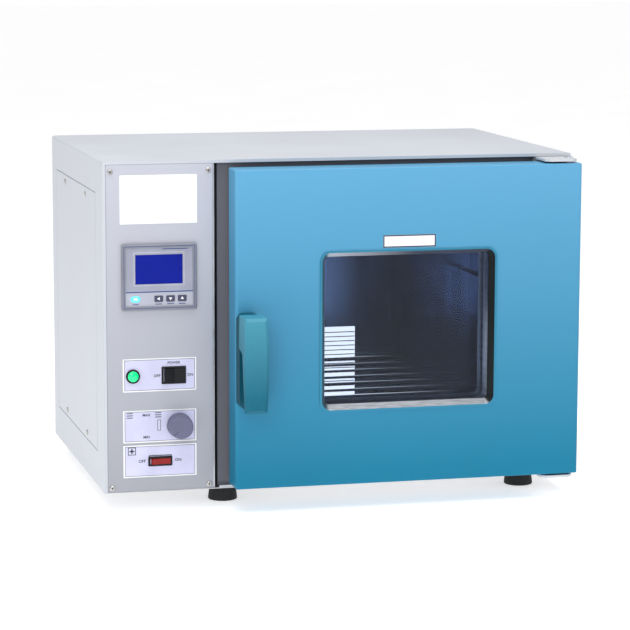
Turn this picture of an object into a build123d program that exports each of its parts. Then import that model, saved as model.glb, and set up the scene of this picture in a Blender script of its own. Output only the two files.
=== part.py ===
"""Bench-top forced-air drying oven.

Millimetres, +Z up, the front faces -Y. The model is built from the cabinet's own corner:
x = 0 at the cabinet's left side, y = 0 at the plane of its front rim, z = 0 at its bottom.
At the end everything is moved so that the origin is under the middle of the whole oven,
on the surface that it stands on.
"""
from build123d import *
import math
import os

os.makedirs("parts", exist_ok=True)

# Cabinet
cabinet_w = 640.0
cabinet_h = 438.0
cabinet_d = 430.0
sheet_t = 1.2
cover_bend_r = 3.0
rim_lip = 4.0
slip_gap = 0.3          # between sheets that are slipped together
pan_flange_h = 20.0

# Removable cover in the left side
access_front = 56.0     # from the front rim
access_back = 42.0      # from the rear edge
access_bottom = 48.0
access_top = 46.0       # from the top
access_gap = 1.5
access_ledge = 14.0
access_screw_inset = 80.0
access_screw_drop = 9.0

# Small pan-head screws
screw_head_r = 3.6
screw_head_h = 1.8
screw_r = 2.0
screw_clearance = 0.2

# Control section
panel_w = 146.0         # right edge of the control panel, from the cabinet's left side
panel_t = 2.0
panel_set_back = 0.3
panel_screw_inset_x = 6.0
panel_screw_top = 9.5
panel_screw_bottom = 5.5
angle_leg = 18.0
partition_offset = 1.0
partition_flange = 14.0

# Plates on the control panel
plate_t = 0.5
plate_x0 = 25.0
plate_right = 23.0      # from the panel's right edge
name_plate_x0 = 22.5
name_plate_right = 21.0
name_plate_drop = 82.0  # its lower edge, from the cabinet's top
name_plate_h = 64.0
power_plate_h = 44.0
power_plate_share = 0.216   # of the panel's free height, below the power plate
vent_plate_h = 43.0
plate_gap = 3.5
fan_plate_z0 = 20.0
fan_plate_h = 43.0

# Temperature controller
bezel_w = 99.5
bezel_h = 87.0
bezel_share = 0.558     # of the panel's free height, below the controller
bezel_offset = 0.75     # from the panel's middle to the right
bezel_rim = 5.0
bezel_proud = 5.0
face_t = 1.5
face_recess = 1.5
display_left = 18.0     # from the bezel's left edge
display_bottom = 34.3   # from the bezel's lower edge
display_w = 62.8
display_h = 38.7
display_t = 0.8
key_bottom = 14.8       # key centres, from the bezel's lower edge
key_w = 11.6
key_h = 8.4
set_key_left = 18.0     # key centres, from the bezel's left edge
set_key_w = 13.0
left_key_left = 48.8
key_pitch = 15.6
key_proud = 0.9
key_travel = 0.8
key_tail = 1.2
key_gap = 0.25
controller_depth = 78.0

# Switches and lamp
power_switch_right = 30.2   # centre, from the plate's right edge
switch_bottom = 21.0    # centres, from the plate's lower edge
power_switch_w = 32.6
power_switch_h = 23.2
fan_switch_w = 32.0
fan_switch_h = 12.8
switch_border = 2.4
switch_flange_t = 2.0
switch_wall = 1.0
switch_depth = 24.0
rocker_tilt = 8.0
rocker_pin_r = 1.5
rocker_pivot_depth = 3.0
rocker_side_gap = 0.3
rocker_end_gap = 1.2
lamp_left = 13.3        # centre, from the plate's left edge
lamp_ring_r = 9.3
lamp_ring_h = 3.0
lamp_body_r = 7.6
lamp_body_l = 28.0
lamp_lens_r = 7.0
lamp_lens_rise = 2.4

# Air vent: knob, shaft and butterfly damper
vent_right = 23.5       # shaft, from the plate's right edge
vent_bottom = 22.0      # shaft, from the plate's lower edge
knob_r = 16.5
knob_l = 20.0
knob_taper = 0.8
shaft_r = 3.0
running_gap = 0.05
bush_r = 4.5
bush_flange_r = 6.5
bush_flange_t = 1.5
bush_l = 13.0
vent_tube_y = 112.0
vent_tube_r = 20.0
vent_tube_t = 2.0
vent_tube_stub = 24.0
vent_flange_r = 30.0
damper_t = 1.5
damper_gap = 0.5

# Chamber
chamber_wall_left = 98.0    # from the frame's left edge, air duct included
chamber_wall_right = 48.0
chamber_wall_z = 56.5
chamber_wall_back = 91.8
liner_t = 1.0
duct_w = 37.0
frame_set_back = 12.0
frame_gap_x = 8.0       # dark joint between the control panel and the chamber's frame
frame_return = 20.0
mouth_corner_r = 12.0
liner_flange = 10.0
insulation_gap = 0.6

# Plate on the chamber's back wall
air_guide_w = 176.0
air_guide_h = 101.0
air_guide_t = 3.0
air_guide_gap = 2.0

# Rails and shelf
rail_w = 9.0
rail_t = 1.2
rail_count = 4
rail_first_z = 52.0     # top of the lowest rail above the chamber's floor
rail_top_gap = 75.0     # above the highest rail
rail_inset_y = 12.0
rail_upright_w = 14.0
shelf_rod_r = 2.0
shelf_frame_r = 3.0
shelf_rods = 7
shelf_gap_x = 3.0
shelf_inset_front = 9.0
shelf_inset_back = 10.0
shelf_play = 8.0
rest_gap = 0.3

# Fan
fan_shaft_r = 4.0
impeller_r = 68.0
impeller_eye_r = 40.0
impeller_w = 22.0
impeller_plate_t = 1.2
impeller_hub_r = 11.0
impeller_blades = 12
impeller_side_gap = 7.0
blade_t = 1.2
blade_sweep = 28.0
motor_r = 42.0
motor_l = 66.0
motor_standoff = 16.0
motor_post_r = 4.0
motor_plate_t = 2.0
motor_plate_w = 96.0
motor_bore_l = 40.0

# Heating element round the impeller
heater_ring_r = 92.0
heater_tube_r = 4.0
heater_gap_angle = 24.0
heater_terminal = 16.0
heater_collar = 0.3

# Temperature probe
probe_r = 2.5
probe_back = 48.0       # from the chamber's back wall
probe_drop = 62.0
probe_reach = 34.0
probe_nut_r = 7.0
probe_nut_t = 5.0

# Baffle in front of the fan
baffle_flange = 9.0
baffle_slot_w = 52.0
baffle_slot_h = 5.0
baffle_slot_rows = 7
baffle_slot_pitch = 26.0
baffle_column_inset = 16.0
baffle_hole_r = 4.5
baffle_hole_pitch = 15.0

# Rear
louvre_count = 6
louvre_w = 84.0
louvre_pitch = 24.0
louvre_h = 7.0
louvre_proud = 5.0
louvre_first_z = 150.0
exhaust_r = 20.0
exhaust_t = 2.0
exhaust_proud = 20.0
exhaust_drop = 60.0
exhaust_flange_r = 32.0
exhaust_flange_t = 1.5
inlet_x = 75.0
inlet_z = 46.0
inlet_w = 28.0
inlet_h = 20.5
inlet_flange_w = 50.0
inlet_depth = 24.0
inlet_cavity_depth = 16.0
inlet_wall = 2.0
inlet_flange_t = 3.0

# Door
door_gap_left = 20.0    # from the control panel's edge to the door's edge
door_gap_top = 10.0
door_gap_bottom = 7.0
door_gap_back = 3.0
door_t = 44.0
door_edge_r = 4.0
door_plug_margin = 24.0
door_plug_depth = 9.0
door_open_deg = 120.0

# Window in the door
window_left = 113.0     # from the door's left edge
window_right = 118.0    # from the door's right edge
window_bottom = 105.0   # from the cabinet's bottom
window_top = 118.0      # from the cabinet's top
window_corner_r = 15.0
trim_flange = 1.5
trim_flange_t = 1.0
trim_land = 3.0
trim_bevel = 6.0
pane_t = 5.0
outer_pane_depth = 11.0
pane_overlap = 8.0
spacer_wall = 3.0
label_w = 72.0
label_h = 16.5
label_gap = 2.0

# Door gasket
gasket_w = 14.0
gasket_inset = 4.0
gasket_gap = 0.3

# Handle
handle_w = 29.0
handle_edge = 0.6       # from the door's left edge
handle_z0 = 118.0
handle_h = 124.0
handle_base_d = 20.0
handle_grip_d = 38.0
handle_corner_r = 9.0
handle_bow = 2.6
handle_block_h = 44.0
handle_root_t = 18.0
handle_tip_t = 7.0
handle_web_t = 6.0
handle_chamfer = 4.0

# Hinges
hinge_edge = 12.0       # pin axis from the door's right edge
hinge_pin_r = 4.0
hinge_pin_l = 16.0
hinge_head_r = 6.5
hinge_head_h = 1.4
hinge_plate_t = 3.0
hinge_plate_w = 45.0
hinge_plate_reach = 45.0
hinge_leg_h = 24.0
hinge_gap = 2.5
bush_wall = 3.0
hinge_bush_l = 14.0

# Catch
catch_w = 14.0
catch_h = 50.0
catch_strike_t = 1.5
catch_gap = 0.3

# Feet
foot_r = 20.0
foot_top_r = 17.0
foot_h = 26.0
foot_left = 24.0        # from the control panel's edge
foot_right = 50.0       # from the cabinet's right side
foot_front = 55.0
foot_back = 55.0
foot_bore_r = 7.0
foot_bore_h = 14.0

# Places worked out from the sizes above
access_y0 = access_front
access_y1 = cabinet_d - access_back
access_z0 = access_bottom
access_z1 = cabinet_h - access_top
panel_y = panel_set_back
panel_back = panel_y + panel_t
plate_y = panel_y - plate_t
plate_x1 = panel_w - plate_right
plate_w = plate_x1 - plate_x0
name_plate_w = panel_w - name_plate_right - name_plate_x0
name_plate_z0 = cabinet_h - name_plate_drop
vent_plate_z0 = fan_plate_z0 + fan_plate_h + plate_gap
vent_plate_z1 = vent_plate_z0 + vent_plate_h
panel_free_h = name_plate_z0 - vent_plate_z1 - power_plate_h - bezel_h
power_plate_z0 = vent_plate_z1 + power_plate_share * panel_free_h
bezel_z0 = power_plate_z0 + power_plate_h + bezel_share * panel_free_h
bezel_x0 = (panel_w - bezel_w) / 2 + bezel_offset
display_x0 = bezel_x0 + display_left
display_z0 = bezel_z0 + display_bottom
key_z = bezel_z0 + key_bottom
set_key_x = bezel_x0 + set_key_left
left_key_x = bezel_x0 + left_key_left
down_key_x = left_key_x + key_pitch
up_key_x = down_key_x + key_pitch
power_switch_x = plate_x1 - power_switch_right
power_switch_z = power_plate_z0 + switch_bottom
fan_switch_x = (plate_x0 + plate_x1) / 2
fan_switch_z = fan_plate_z0 + switch_bottom
lamp_x = plate_x0 + lamp_left
lamp_z = power_switch_z
vent_x = plate_x1 - vent_right
vent_z = vent_plate_z0 + vent_bottom
partition_x = panel_w + partition_offset
frame_x0 = panel_w + frame_gap_x
frame_y = frame_set_back
door_x0 = panel_w + door_gap_left
door_x1 = cabinet_w
door_z0 = door_gap_bottom
door_z1 = cabinet_h - door_gap_top
door_back = -door_gap_back
door_front = door_back - door_t
window_w = door_x1 - window_right - door_x0 - window_left
window_h = cabinet_h - window_top - window_bottom
window_x = door_x0 + window_left + window_w / 2
window_z = window_bottom + window_h / 2
window_narrow = trim_land + trim_bevel
pane_grow = pane_overlap - window_narrow
chamber_x0 = frame_x0 + chamber_wall_left
chamber_x1 = cabinet_w - chamber_wall_right
chamber_x = (chamber_x0 + chamber_x1) / 2
chamber_z0 = chamber_wall_z
chamber_z1 = cabinet_h - chamber_wall_z
chamber_y0 = frame_y + sheet_t
chamber_y1 = cabinet_d - chamber_wall_back
duct_x0 = chamber_x0 - duct_w
fan_y = (chamber_y0 + chamber_y1) / 2
fan_z = (chamber_z0 + chamber_z1) / 2
exhaust_z = chamber_z1 - exhaust_drop
probe_y = chamber_y1 - probe_back
probe_z = chamber_z1 - probe_drop
rail_pitch = (chamber_z1 - chamber_z0 - rail_first_z - rail_top_gap) / (rail_count - 1)
hinge_x = door_x1 - hinge_edge
hinge_y = (door_front + door_back) / 2
back_y = cabinet_d - sheet_t
inner_x0 = sheet_t + slip_gap
inner_x1 = cabinet_w - sheet_t - slip_gap
inner_z0 = sheet_t + slip_gap
inner_z1 = cabinet_h - sheet_t - slip_gap
key_back = plate_y - bezel_proud + face_recess + face_t + key_tail
shelf_z = chamber_z0 + rail_first_z + rest_gap + shelf_frame_r


def block(x0, x1, y0, y1, z0, z1):
    """A box between two corners."""
    centre = Pos((x0 + x1) / 2, (y0 + y1) / 2, (z0 + z1) / 2)
    return centre * Box(x1 - x0, y1 - y0, z1 - z0)


def rod_x(r, x0, x1, y, z):
    return Pos((x0 + x1) / 2, y, z) * Rot(Y=90) * Cylinder(r, x1 - x0)


def rod_y(r, y0, y1, x, z):
    return Pos(x, (y0 + y1) / 2, z) * Rot(X=90) * Cylinder(r, y1 - y0)


def rod_z(r, z0, z1, x, y):
    return Pos(x, y, (z0 + z1) / 2) * Cylinder(r, z1 - z0)


def slab(x0, x1, y0, y1, z0, z1, r):
    """A plate that faces the front, with rounded corners."""
    outline = Plane.XZ * RectangleRounded(x1 - x0, z1 - z0, r)
    return Pos((x0 + x1) / 2, y1, (z0 + z1) / 2) * extrude(outline, amount=y1 - y0)


def turned_y(profile, x, z):
    """A solid of revolution about the line along Y at (x, z); profile points are (radius, y)."""
    face = make_face(Plane.XY * Polyline(*profile, close=True))
    return Pos(x, 0, z) * revolve(face, axis=Axis.Y)


def screw(place, toward, grip):
    """A pan-head screw whose head lies on place; its shank runs along toward."""
    seat = Plane(origin=place, z_dir=toward)
    head = Pos(0, 0, -screw_head_h / 2) * Cylinder(screw_head_r, screw_head_h)
    head = chamfer(head.edges().group_by(Axis.Z)[0], screw_head_h / 2.5)
    shank = Pos(0, 0, grip / 2) * Cylinder(screw_r, grip)
    return seat * (head + shank)


def screw_hole(place, toward, depth):
    seat = Plane(origin=place, z_dir=toward)
    hole_r = screw_r + screw_clearance
    return seat * (Pos(0, 0, depth / 2) * Cylinder(hole_r, depth + 2))


# Cabinet shells

access_screws = [
    (y, z)
    for y in (access_y0 + access_screw_inset, access_y1 - access_screw_inset)
    for z in (access_z0 + access_screw_drop, access_z1 - access_screw_drop)
]

panel_screws = [
    (x, z)
    for x in (rim_lip + panel_screw_inset_x, panel_w - panel_screw_inset_x)
    for z in (inner_z0 + panel_screw_bottom, cabinet_h - rim_lip - panel_screw_top)
]

foot_places = [
    (x, y)
    for x in (panel_w + foot_left, cabinet_w - foot_right)
    for y in (foot_front, cabinet_d - foot_back)
]


def outer_cover():
    """Left side, top and right side folded from one sheet, with a lip round the front."""
    body = block(0, cabinet_w, 0, cabinet_d, 0, cabinet_h)
    top_edges = body.edges().filter_by(Axis.Y).group_by(Axis.Z)[-1]
    body = fillet(top_edges, cover_bend_r)
    hollow = block(sheet_t, cabinet_w - sheet_t, sheet_t, cabinet_d + 1, -1, cabinet_h - sheet_t)
    hollow_edges = hollow.edges().filter_by(Axis.Y).group_by(Axis.Z)[-1]
    hollow = fillet(hollow_edges, cover_bend_r - sheet_t)
    mouth = block(rim_lip, cabinet_w - rim_lip, -1, sheet_t + 1, -1, cabinet_h - rim_lip)
    cover = body - hollow - mouth
    ledge = block(
        sheet_t, 2 * sheet_t,
        access_y0 - access_ledge, access_y1 + access_ledge,
        access_z0 - access_ledge, access_z1 + access_ledge,
    )
    ledge -= block(
        0, 3 * sheet_t,
        access_y0 + access_ledge, access_y1 - access_ledge,
        access_z0 + access_ledge, access_z1 - access_ledge,
    )
    window = block(
        -1, sheet_t,
        access_y0 - access_gap, access_y1 + access_gap,
        access_z0 - access_gap, access_z1 + access_gap,
    )
    cover = cover - window + ledge
    for y, z in access_screws:
        cover -= screw_hole((0, y, z), (1, 0, 0), 3 * sheet_t)
    return cover


def side_access_cover():
    """Flush cover over the wiring, let into the left side."""
    cover = block(0, sheet_t, access_y0, access_y1, access_z0, access_z1)
    cover = fillet(cover.edges().filter_by(Axis.X), 2.0)
    for y, z in access_screws:
        cover -= screw_hole((0, y, z), (1, 0, 0), sheet_t)
    return cover


def base_pan():
    """Bottom sheet with upturned edges and a low lip in front, cut away at the hinge."""
    pan_y1 = back_y - slip_gap
    lip_x0 = rim_lip + slip_gap
    pan = block(inner_x0, inner_x1, sheet_t + slip_gap, pan_y1, 0, sheet_t)
    pan += block(lip_x0, cabinet_w - lip_x0, 0, sheet_t + slip_gap, 0, sheet_t)
    for x in (inner_x0, inner_x1 - sheet_t):
        pan += block(x, x + sheet_t, panel_back + angle_leg + 1, pan_y1, 0, pan_flange_h)
    pan += block(inner_x0, inner_x1, pan_y1 - sheet_t, pan_y1, 0, pan_flange_h)
    pan += block(frame_x0, hinge_plate_x0() - 2, 0, sheet_t, 0, rim_lip)
    for x, y in foot_places:
        pan -= rod_z(screw_r + 1 + screw_clearance, -1, sheet_t + 1, x, y)
    return pan


def back_panel():
    """Rear sheet with pressed louvres behind the control section."""
    panel = block(inner_x0, inner_x1, back_y, cabinet_d, inner_z0, inner_z1)
    panel = fillet(panel.edges().filter_by(Axis.Y).group_by(Axis.Z)[-1], cover_bend_r)
    louvre_x = panel_w / 2
    for i in range(louvre_count):
        z = louvre_first_z + i * louvre_pitch
        panel -= block(
            louvre_x - louvre_w / 2 + sheet_t, louvre_x + louvre_w / 2 - sheet_t,
            back_y - 1, cabinet_d + 1,
            z, z + louvre_h - sheet_t,
        )
        hood = make_face(Plane.YZ * Polyline(
            (cabinet_d, z + louvre_h + 2),
            (cabinet_d + louvre_proud, z + sheet_t),
            (cabinet_d + louvre_proud, z),
            (cabinet_d + louvre_proud - sheet_t, z),
            (cabinet_d, z + louvre_h - sheet_t),
            close=True,
        ))
        panel += Pos(louvre_x - louvre_w / 2, 0, 0) * extrude(hood, amount=louvre_w, dir=(1, 0, 0))
        for x in (louvre_x - louvre_w / 2, louvre_x + louvre_w / 2 - sheet_t):
            cheek = make_face(Plane.YZ * Polyline(
                (cabinet_d, z + louvre_h),
                (cabinet_d + louvre_proud, z + sheet_t),
                (cabinet_d + louvre_proud, z),
                (cabinet_d, z),
                close=True,
            ))
            panel += Pos(x, 0, 0) * extrude(cheek, amount=sheet_t, dir=(1, 0, 0))
    panel -= rod_y(exhaust_r + slip_gap, back_y - 1, cabinet_d + 1, chamber_x, exhaust_z)
    panel -= block(
        inlet_x - inlet_w / 2 - slip_gap, inlet_x + inlet_w / 2 + slip_gap,
        back_y - 1, cabinet_d + 1,
        inlet_z - inlet_h / 2 - slip_gap, inlet_z + inlet_h / 2 + slip_gap,
    )
    return panel


def feet():
    """Tapered rubber feet with a recess for the screw head."""
    made = []
    for x, y in foot_places:
        foot = Cone(foot_r, foot_top_r, foot_h)
        foot = fillet(foot.edges().group_by(Axis.Z)[0], 2.0)
        foot = Pos(x, y, -foot_h / 2) * foot
        foot -= rod_z(foot_bore_r, -foot_h - 1, -foot_h + foot_bore_h, x, y)
        foot -= rod_z(screw_r + 1 + screw_clearance, -foot_h, 1, x, y)
        made.append(foot)
    return made


def foot_screws():
    made = []
    for x, y in foot_places:
        head_z = foot_bore_h - foot_h
        bolt = rod_z(screw_head_r + 1.5, head_z - 3, head_z, x, y)
        bolt += rod_z(screw_r + 1, head_z, sheet_t + 5, x, y)
        nut = extrude(RegularPolygon(screw_r + 3.5, 6), amount=3.5)
        nut -= Cylinder(screw_r + 1.05, 20)
        made.append(bolt)
        made.append(Pos(x, y, sheet_t) * nut)
    return made


# Control section

def cut_for_switch(part, x, z, w, h):
    inset = switch_border - switch_wall - slip_gap
    return part - block(
        x - w / 2 + inset, x + w / 2 - inset,
        plate_y - 1, panel_back + 1,
        z - h / 2 + inset, z + h / 2 - inset,
    )


def control_panel():
    panel = block(
        rim_lip + slip_gap, panel_w,
        panel_y, panel_back,
        inner_z0, cabinet_h - rim_lip - slip_gap,
    )
    panel = fillet(panel.edges().filter_by(Axis.Z).group_by(Axis.Y)[0], 0.8)
    panel -= block(
        bezel_x0 + bezel_rim, bezel_x0 + bezel_w - bezel_rim,
        panel_y - 1, panel_back + 1,
        bezel_z0 + bezel_rim, bezel_z0 + bezel_h - bezel_rim,
    )
    panel = cut_for_switch(panel, power_switch_x, power_switch_z, power_switch_w, power_switch_h)
    panel = cut_for_switch(panel, fan_switch_x, fan_switch_z, fan_switch_w, fan_switch_h)
    panel -= rod_y(lamp_body_r + slip_gap, panel_y - 1, panel_back + 1, lamp_x, lamp_z)
    panel -= rod_y(bush_r + slip_gap, panel_y - 1, panel_back + 1, vent_x, vent_z)
    for x, z in panel_screws:
        panel -= screw_hole((x, panel_y, z), (0, 1, 0), panel_t)
    return panel


def cabinet_screws():
    """The same pan-head screw in the side cover, the control panel and the hinge brackets."""
    made = [screw((0, y, z), (1, 0, 0), 7.0) for y, z in access_screws]
    made += [screw((x, panel_y, z), (0, 1, 0), panel_t + sheet_t + 4) for x, z in panel_screws]
    for leg in (top_leg, bottom_leg):
        for x, z in hinge_screw_places(sum(leg) / 2):
            made.append(screw((x, frame_y - hinge_plate_t, z), (0, 1, 0), hinge_plate_t))
    return made


def panel_mounting_angle():
    """Angle inside the cover's left side that takes the panel's left screws."""
    z0 = inner_z0
    z1 = cabinet_h - rim_lip - slip_gap
    angle = block(inner_x0, inner_x0 + angle_leg, panel_back, panel_back + sheet_t, z0, z1)
    angle += block(inner_x0, inner_x0 + sheet_t, panel_back, panel_back + angle_leg, z0, z1)
    for x, z in panel_screws:
        if x < panel_w / 2:
            angle -= screw_hole((x, panel_back, z), (0, 1, 0), sheet_t)
    return angle


def control_partition():
    """Sheet between the control section and the insulated chamber."""
    wall = block(
        partition_x, partition_x + sheet_t,
        panel_back, back_y - 2 * sheet_t - slip_gap,
        inner_z0, inner_z1,
    )
    wall += block(
        partition_x - partition_flange, partition_x + sheet_t,
        panel_back, panel_back + sheet_t,
        inner_z0, cabinet_h - rim_lip - slip_gap,
    )
    wall -= wall_openings()
    for x, z in panel_screws:
        if x > panel_w / 2:
            wall -= screw_hole((x, panel_back, z), (0, 1, 0), sheet_t)
    return wall


def wall_openings():
    """Everything that passes from the control section to the air duct."""
    x0 = partition_x - 1
    x1 = duct_x0 + 0.5
    cuts = rod_x(fan_shaft_r + 2, x0, x1, fan_y, fan_z)
    cuts += rod_x(vent_tube_r + slip_gap, x0, x1, vent_tube_y, vent_z)
    cuts += rod_x(probe_r + slip_gap, x0, x1, probe_y, probe_z)
    for y, z in heater_ends():
        cuts += rod_x(heater_tube_r + slip_gap, x0, x1, y, z)
    return cuts


def plain_plate(x0, w, z0, h):
    return slab(x0, x0 + w, plate_y, panel_y, z0, z0 + h, 1.0)


def panel_plates():
    """Thin printed plates stuck on the control panel."""
    name_plate = plain_plate(name_plate_x0, name_plate_w, name_plate_z0, name_plate_h)
    return [name_plate, power_plate(), vent_plate(), fan_plate()]


def power_plate():
    plate = plain_plate(plate_x0, plate_w, power_plate_z0, power_plate_h)
    plate = cut_for_switch(plate, power_switch_x, power_switch_z, power_switch_w, power_switch_h)
    return plate - rod_y(lamp_body_r + slip_gap, plate_y - 1, panel_y + 1, lamp_x, lamp_z)


def vent_plate():
    plate = plain_plate(plate_x0, plate_w, vent_plate_z0, vent_plate_h)
    return plate - rod_y(bush_r + slip_gap, plate_y - 1, panel_y + 1, vent_x, vent_z)


def fan_plate():
    plate = plain_plate(plate_x0, plate_w, fan_plate_z0, fan_plate_h)
    return cut_for_switch(plate, fan_switch_x, fan_switch_z, fan_switch_w, fan_switch_h)


# Temperature controller

bezel_front = panel_y - bezel_proud
face_y = bezel_front + face_recess
face_back = face_y + face_t


def controller_bezel():
    """Square frame with a bevelled outer edge that holds the controller in the panel."""
    x1 = bezel_x0 + bezel_w
    z1 = bezel_z0 + bezel_h
    frame = slab(bezel_x0, x1, bezel_front, panel_y, bezel_z0, z1, 2.0)
    frame = chamfer(frame.faces().sort_by(Axis.Y)[0].outer_wire().edges(), 1.2)
    frame -= block(
        bezel_x0 + bezel_rim, x1 - bezel_rim,
        bezel_front - 1, panel_y + 1,
        bezel_z0 + bezel_rim, z1 - bezel_rim,
    )
    return frame


def key_shape(x, w, gap, y0, y1):
    return slab(
        x - w / 2 - gap, x + w / 2 + gap, y0, y1,
        key_z - key_h / 2 - gap, key_z + key_h / 2 + gap,
        1.5 + gap,
    )


def round_key_shape(gap, y0, y1):
    half = key_h / 2 + gap
    outline = Plane.XZ * SlotOverall(set_key_w + 2 * gap, 2 * half)
    return Pos(set_key_x, y1, key_z) * extrude(outline, amount=y1 - y0)


def all_key_holes(gap, y0, y1):
    holes = round_key_shape(gap, y0, y1)
    for x in (left_key_x, down_key_x, up_key_x):
        holes += key_shape(x, key_w, gap, y0, y1)
    return holes


def controller_face():
    inset = bezel_rim + 0.1
    face = block(
        bezel_x0 + inset, bezel_x0 + bezel_w - inset,
        face_y, face_back,
        bezel_z0 + inset, bezel_z0 + bezel_h - inset,
    )
    face -= block(
        display_x0, display_x0 + display_w, face_y - 1, face_back + 1,
        display_z0, display_z0 + display_h,
    )
    return face - all_key_holes(key_gap, face_y - 1, face_back + 1)


def display_window():
    return block(
        display_x0 + 0.1, display_x0 + display_w - 0.1,
        face_back - display_t, face_back,
        display_z0 + 0.1, display_z0 + display_h - 0.1,
    )


def controller_housing():
    """Closed box of the controller behind its face, with wells for the keys' tails."""
    inset = bezel_rim + slip_gap
    body = block(
        bezel_x0 + inset, bezel_x0 + bezel_w - inset,
        face_back, panel_back + controller_depth,
        bezel_z0 + inset, bezel_z0 + bezel_h - inset,
    )
    well = key_tail + key_travel + 0.3
    return body - all_key_holes(key_gap, face_back - 1, face_back + well)


def softened_key(key):
    rim = key.faces().sort_by(Axis.Y)[0].outer_wire().edges()
    return chamfer(rim, 0.4)


def set_key():
    return softened_key(round_key_shape(0, face_y - key_proud, face_back + key_tail))


def arrow_key(x):
    return softened_key(key_shape(x, key_w, 0, face_y - key_proud, face_back + key_tail))


# Rocker switches

def switch_front():
    return plate_y - switch_flange_t


def rocker_pivot_y():
    return switch_front() + switch_flange_t + rocker_pivot_depth


def rocker_opening(w, h):
    return w - 2 * switch_border, h - 2 * switch_border


def switch_body(x, z, w, h):
    """Snap-in housing: flange in front of the plate, box behind it, open for the rocker."""
    open_w, open_h = rocker_opening(w, h)
    front = switch_front()
    body = slab(x - w / 2, x + w / 2, front, plate_y, z - h / 2, z + h / 2, 1.0)
    body = chamfer(body.faces().sort_by(Axis.Y)[0].outer_wire().edges(), 0.6)
    box_w = open_w + 2 * switch_wall
    box_h = open_h + 2 * switch_wall
    body += block(
        x - box_w / 2, x + box_w / 2, plate_y, panel_back + switch_depth,
        z - box_h / 2, z + box_h / 2,
    )
    body -= block(
        x - open_w / 2, x + open_w / 2,
        front - 1, rocker_pivot_y() + 10,
        z - open_h / 2, z + open_h / 2,
    )
    pin = rocker_pin_r + running_gap
    pin_half = open_h / 2 + switch_wall / 2
    return body - rod_z(pin, z - pin_half, z + pin_half, x, rocker_pivot_y())


def rocker(x, z, w, h):
    """See-saw button, shown with its right side pressed in."""
    open_w, open_h = rocker_opening(w, h)
    half = open_w / 2 - rocker_end_gap
    centre_rise = rocker_pivot_depth + switch_flange_t + 1.0
    end_rise = centre_rise + half * math.tan(math.radians(rocker_tilt))
    tail_half = half * 0.62
    outline = make_face(Plane.XY * (
        Polyline((-half, 0.5), (-half, -end_rise), (0, -centre_rise), (half, -end_rise), (half, 0.5))
        + Line((half, 0.5), (tail_half, 3.0))
        + ThreePointArc((tail_half, 3.0), (0, 7.0), (-tail_half, 3.0))
        + Line((-tail_half, 3.0), (-half, 0.5))
    ))
    body_h = open_h - 2 * rocker_side_gap
    body = Pos(0, 0, -body_h / 2) * extrude(outline, amount=body_h)
    pin_half = open_h / 2 + switch_wall / 2 - 0.1
    body += Cylinder(rocker_pin_r, 2 * pin_half)
    return Pos(x, rocker_pivot_y(), z) * Rot(Z=rocker_tilt) * body


def switch_bodies():
    return [
        switch_body(power_switch_x, power_switch_z, power_switch_w, power_switch_h),
        switch_body(fan_switch_x, fan_switch_z, fan_switch_w, fan_switch_h),
    ]


def power_rocker():
    return rocker(power_switch_x, power_switch_z, power_switch_w, power_switch_h)


def fan_rocker():
    return rocker(fan_switch_x, fan_switch_z, fan_switch_w, fan_switch_h)


def pilot_lamp_body():
    """Collar in front of the plate and barrel behind it, with a seat for the lens."""
    front = plate_y - lamp_ring_h
    back = panel_back + lamp_body_l
    seat = plate_y + 1.0
    return turned_y(
        [(lamp_lens_r + 0.1, front), (lamp_ring_r - 1.0, front), (lamp_ring_r, front + 1.0),
         (lamp_ring_r, plate_y), (lamp_body_r, plate_y), (lamp_body_r, back),
         (0, back), (0, seat), (lamp_lens_r + 0.1, seat)],
        lamp_x, lamp_z,
    )


def pilot_lamp_lens():
    """Domed lens whose foot sits in the lamp's seat."""
    front = plate_y - lamp_ring_h
    seat = plate_y + 1.0
    top = front - lamp_lens_rise
    dome_r = (lamp_lens_r ** 2 + lamp_lens_rise ** 2) / (2 * lamp_lens_rise)
    half = math.asin(lamp_lens_r / dome_r) / 2
    middle = (dome_r * math.sin(half), top + dome_r * (1 - math.cos(half)))
    dome = make_face(Plane.XY * (
        Polyline((0, top), (0, seat), (lamp_lens_r, seat), (lamp_lens_r, front))
        + ThreePointArc((lamp_lens_r, front), middle, (0, top))
    ))
    return Pos(lamp_x, 0, lamp_z) * revolve(dome, axis=Axis.Y)


# Vent: knob, shaft, bush, tube and damper

def vent_bush():
    """Threaded bush through the panel, with its flange in front and its nut behind."""
    front = plate_y - bush_flange_t
    bush = rod_y(bush_r, front, front + bush_l, vent_x, vent_z)
    bush += rod_y(bush_flange_r, front, plate_y, vent_x, vent_z)
    nut = Plane.XZ * RegularPolygon(bush_r + 3.5, 6)
    bush += Pos(vent_x, panel_back + 3.5, vent_z) * extrude(nut, amount=3.5)
    return bush - rod_y(shaft_r + running_gap, front - 1, front + bush_l + 1, vent_x, vent_z)


def vent_knob():
    back = plate_y - bush_flange_t - rest_gap
    front = back - knob_l
    grip_r = knob_r - knob_taper
    knob = turned_y(
        [(shaft_r + running_gap, back), (knob_r, back), (knob_r, back - 3), (knob_r - 0.8, back - 3.8),
         (grip_r, front + 2.0), (grip_r - 0.6, front + 0.6), (grip_r - 2.0, front),
         (0, front), (0, front + 4), (shaft_r + running_gap, front + 4)],
        vent_x, vent_z,
    )
    pointer = block(
        vent_x - knob_r - 1, vent_x - knob_r * 0.45, front - 1, front + 0.8, vent_z - 0.8, vent_z + 0.8,
    )
    return knob - Pos(vent_x, 0, vent_z) * Rot(Y=-45) * Pos(-vent_x, 0, -vent_z) * pointer


def vent_shaft():
    front = plate_y - bush_flange_t - rest_gap - knob_l + 4
    back = vent_tube_y + vent_tube_r + 3
    return rod_y(shaft_r, front + rest_gap, back, vent_x, vent_z)


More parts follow.
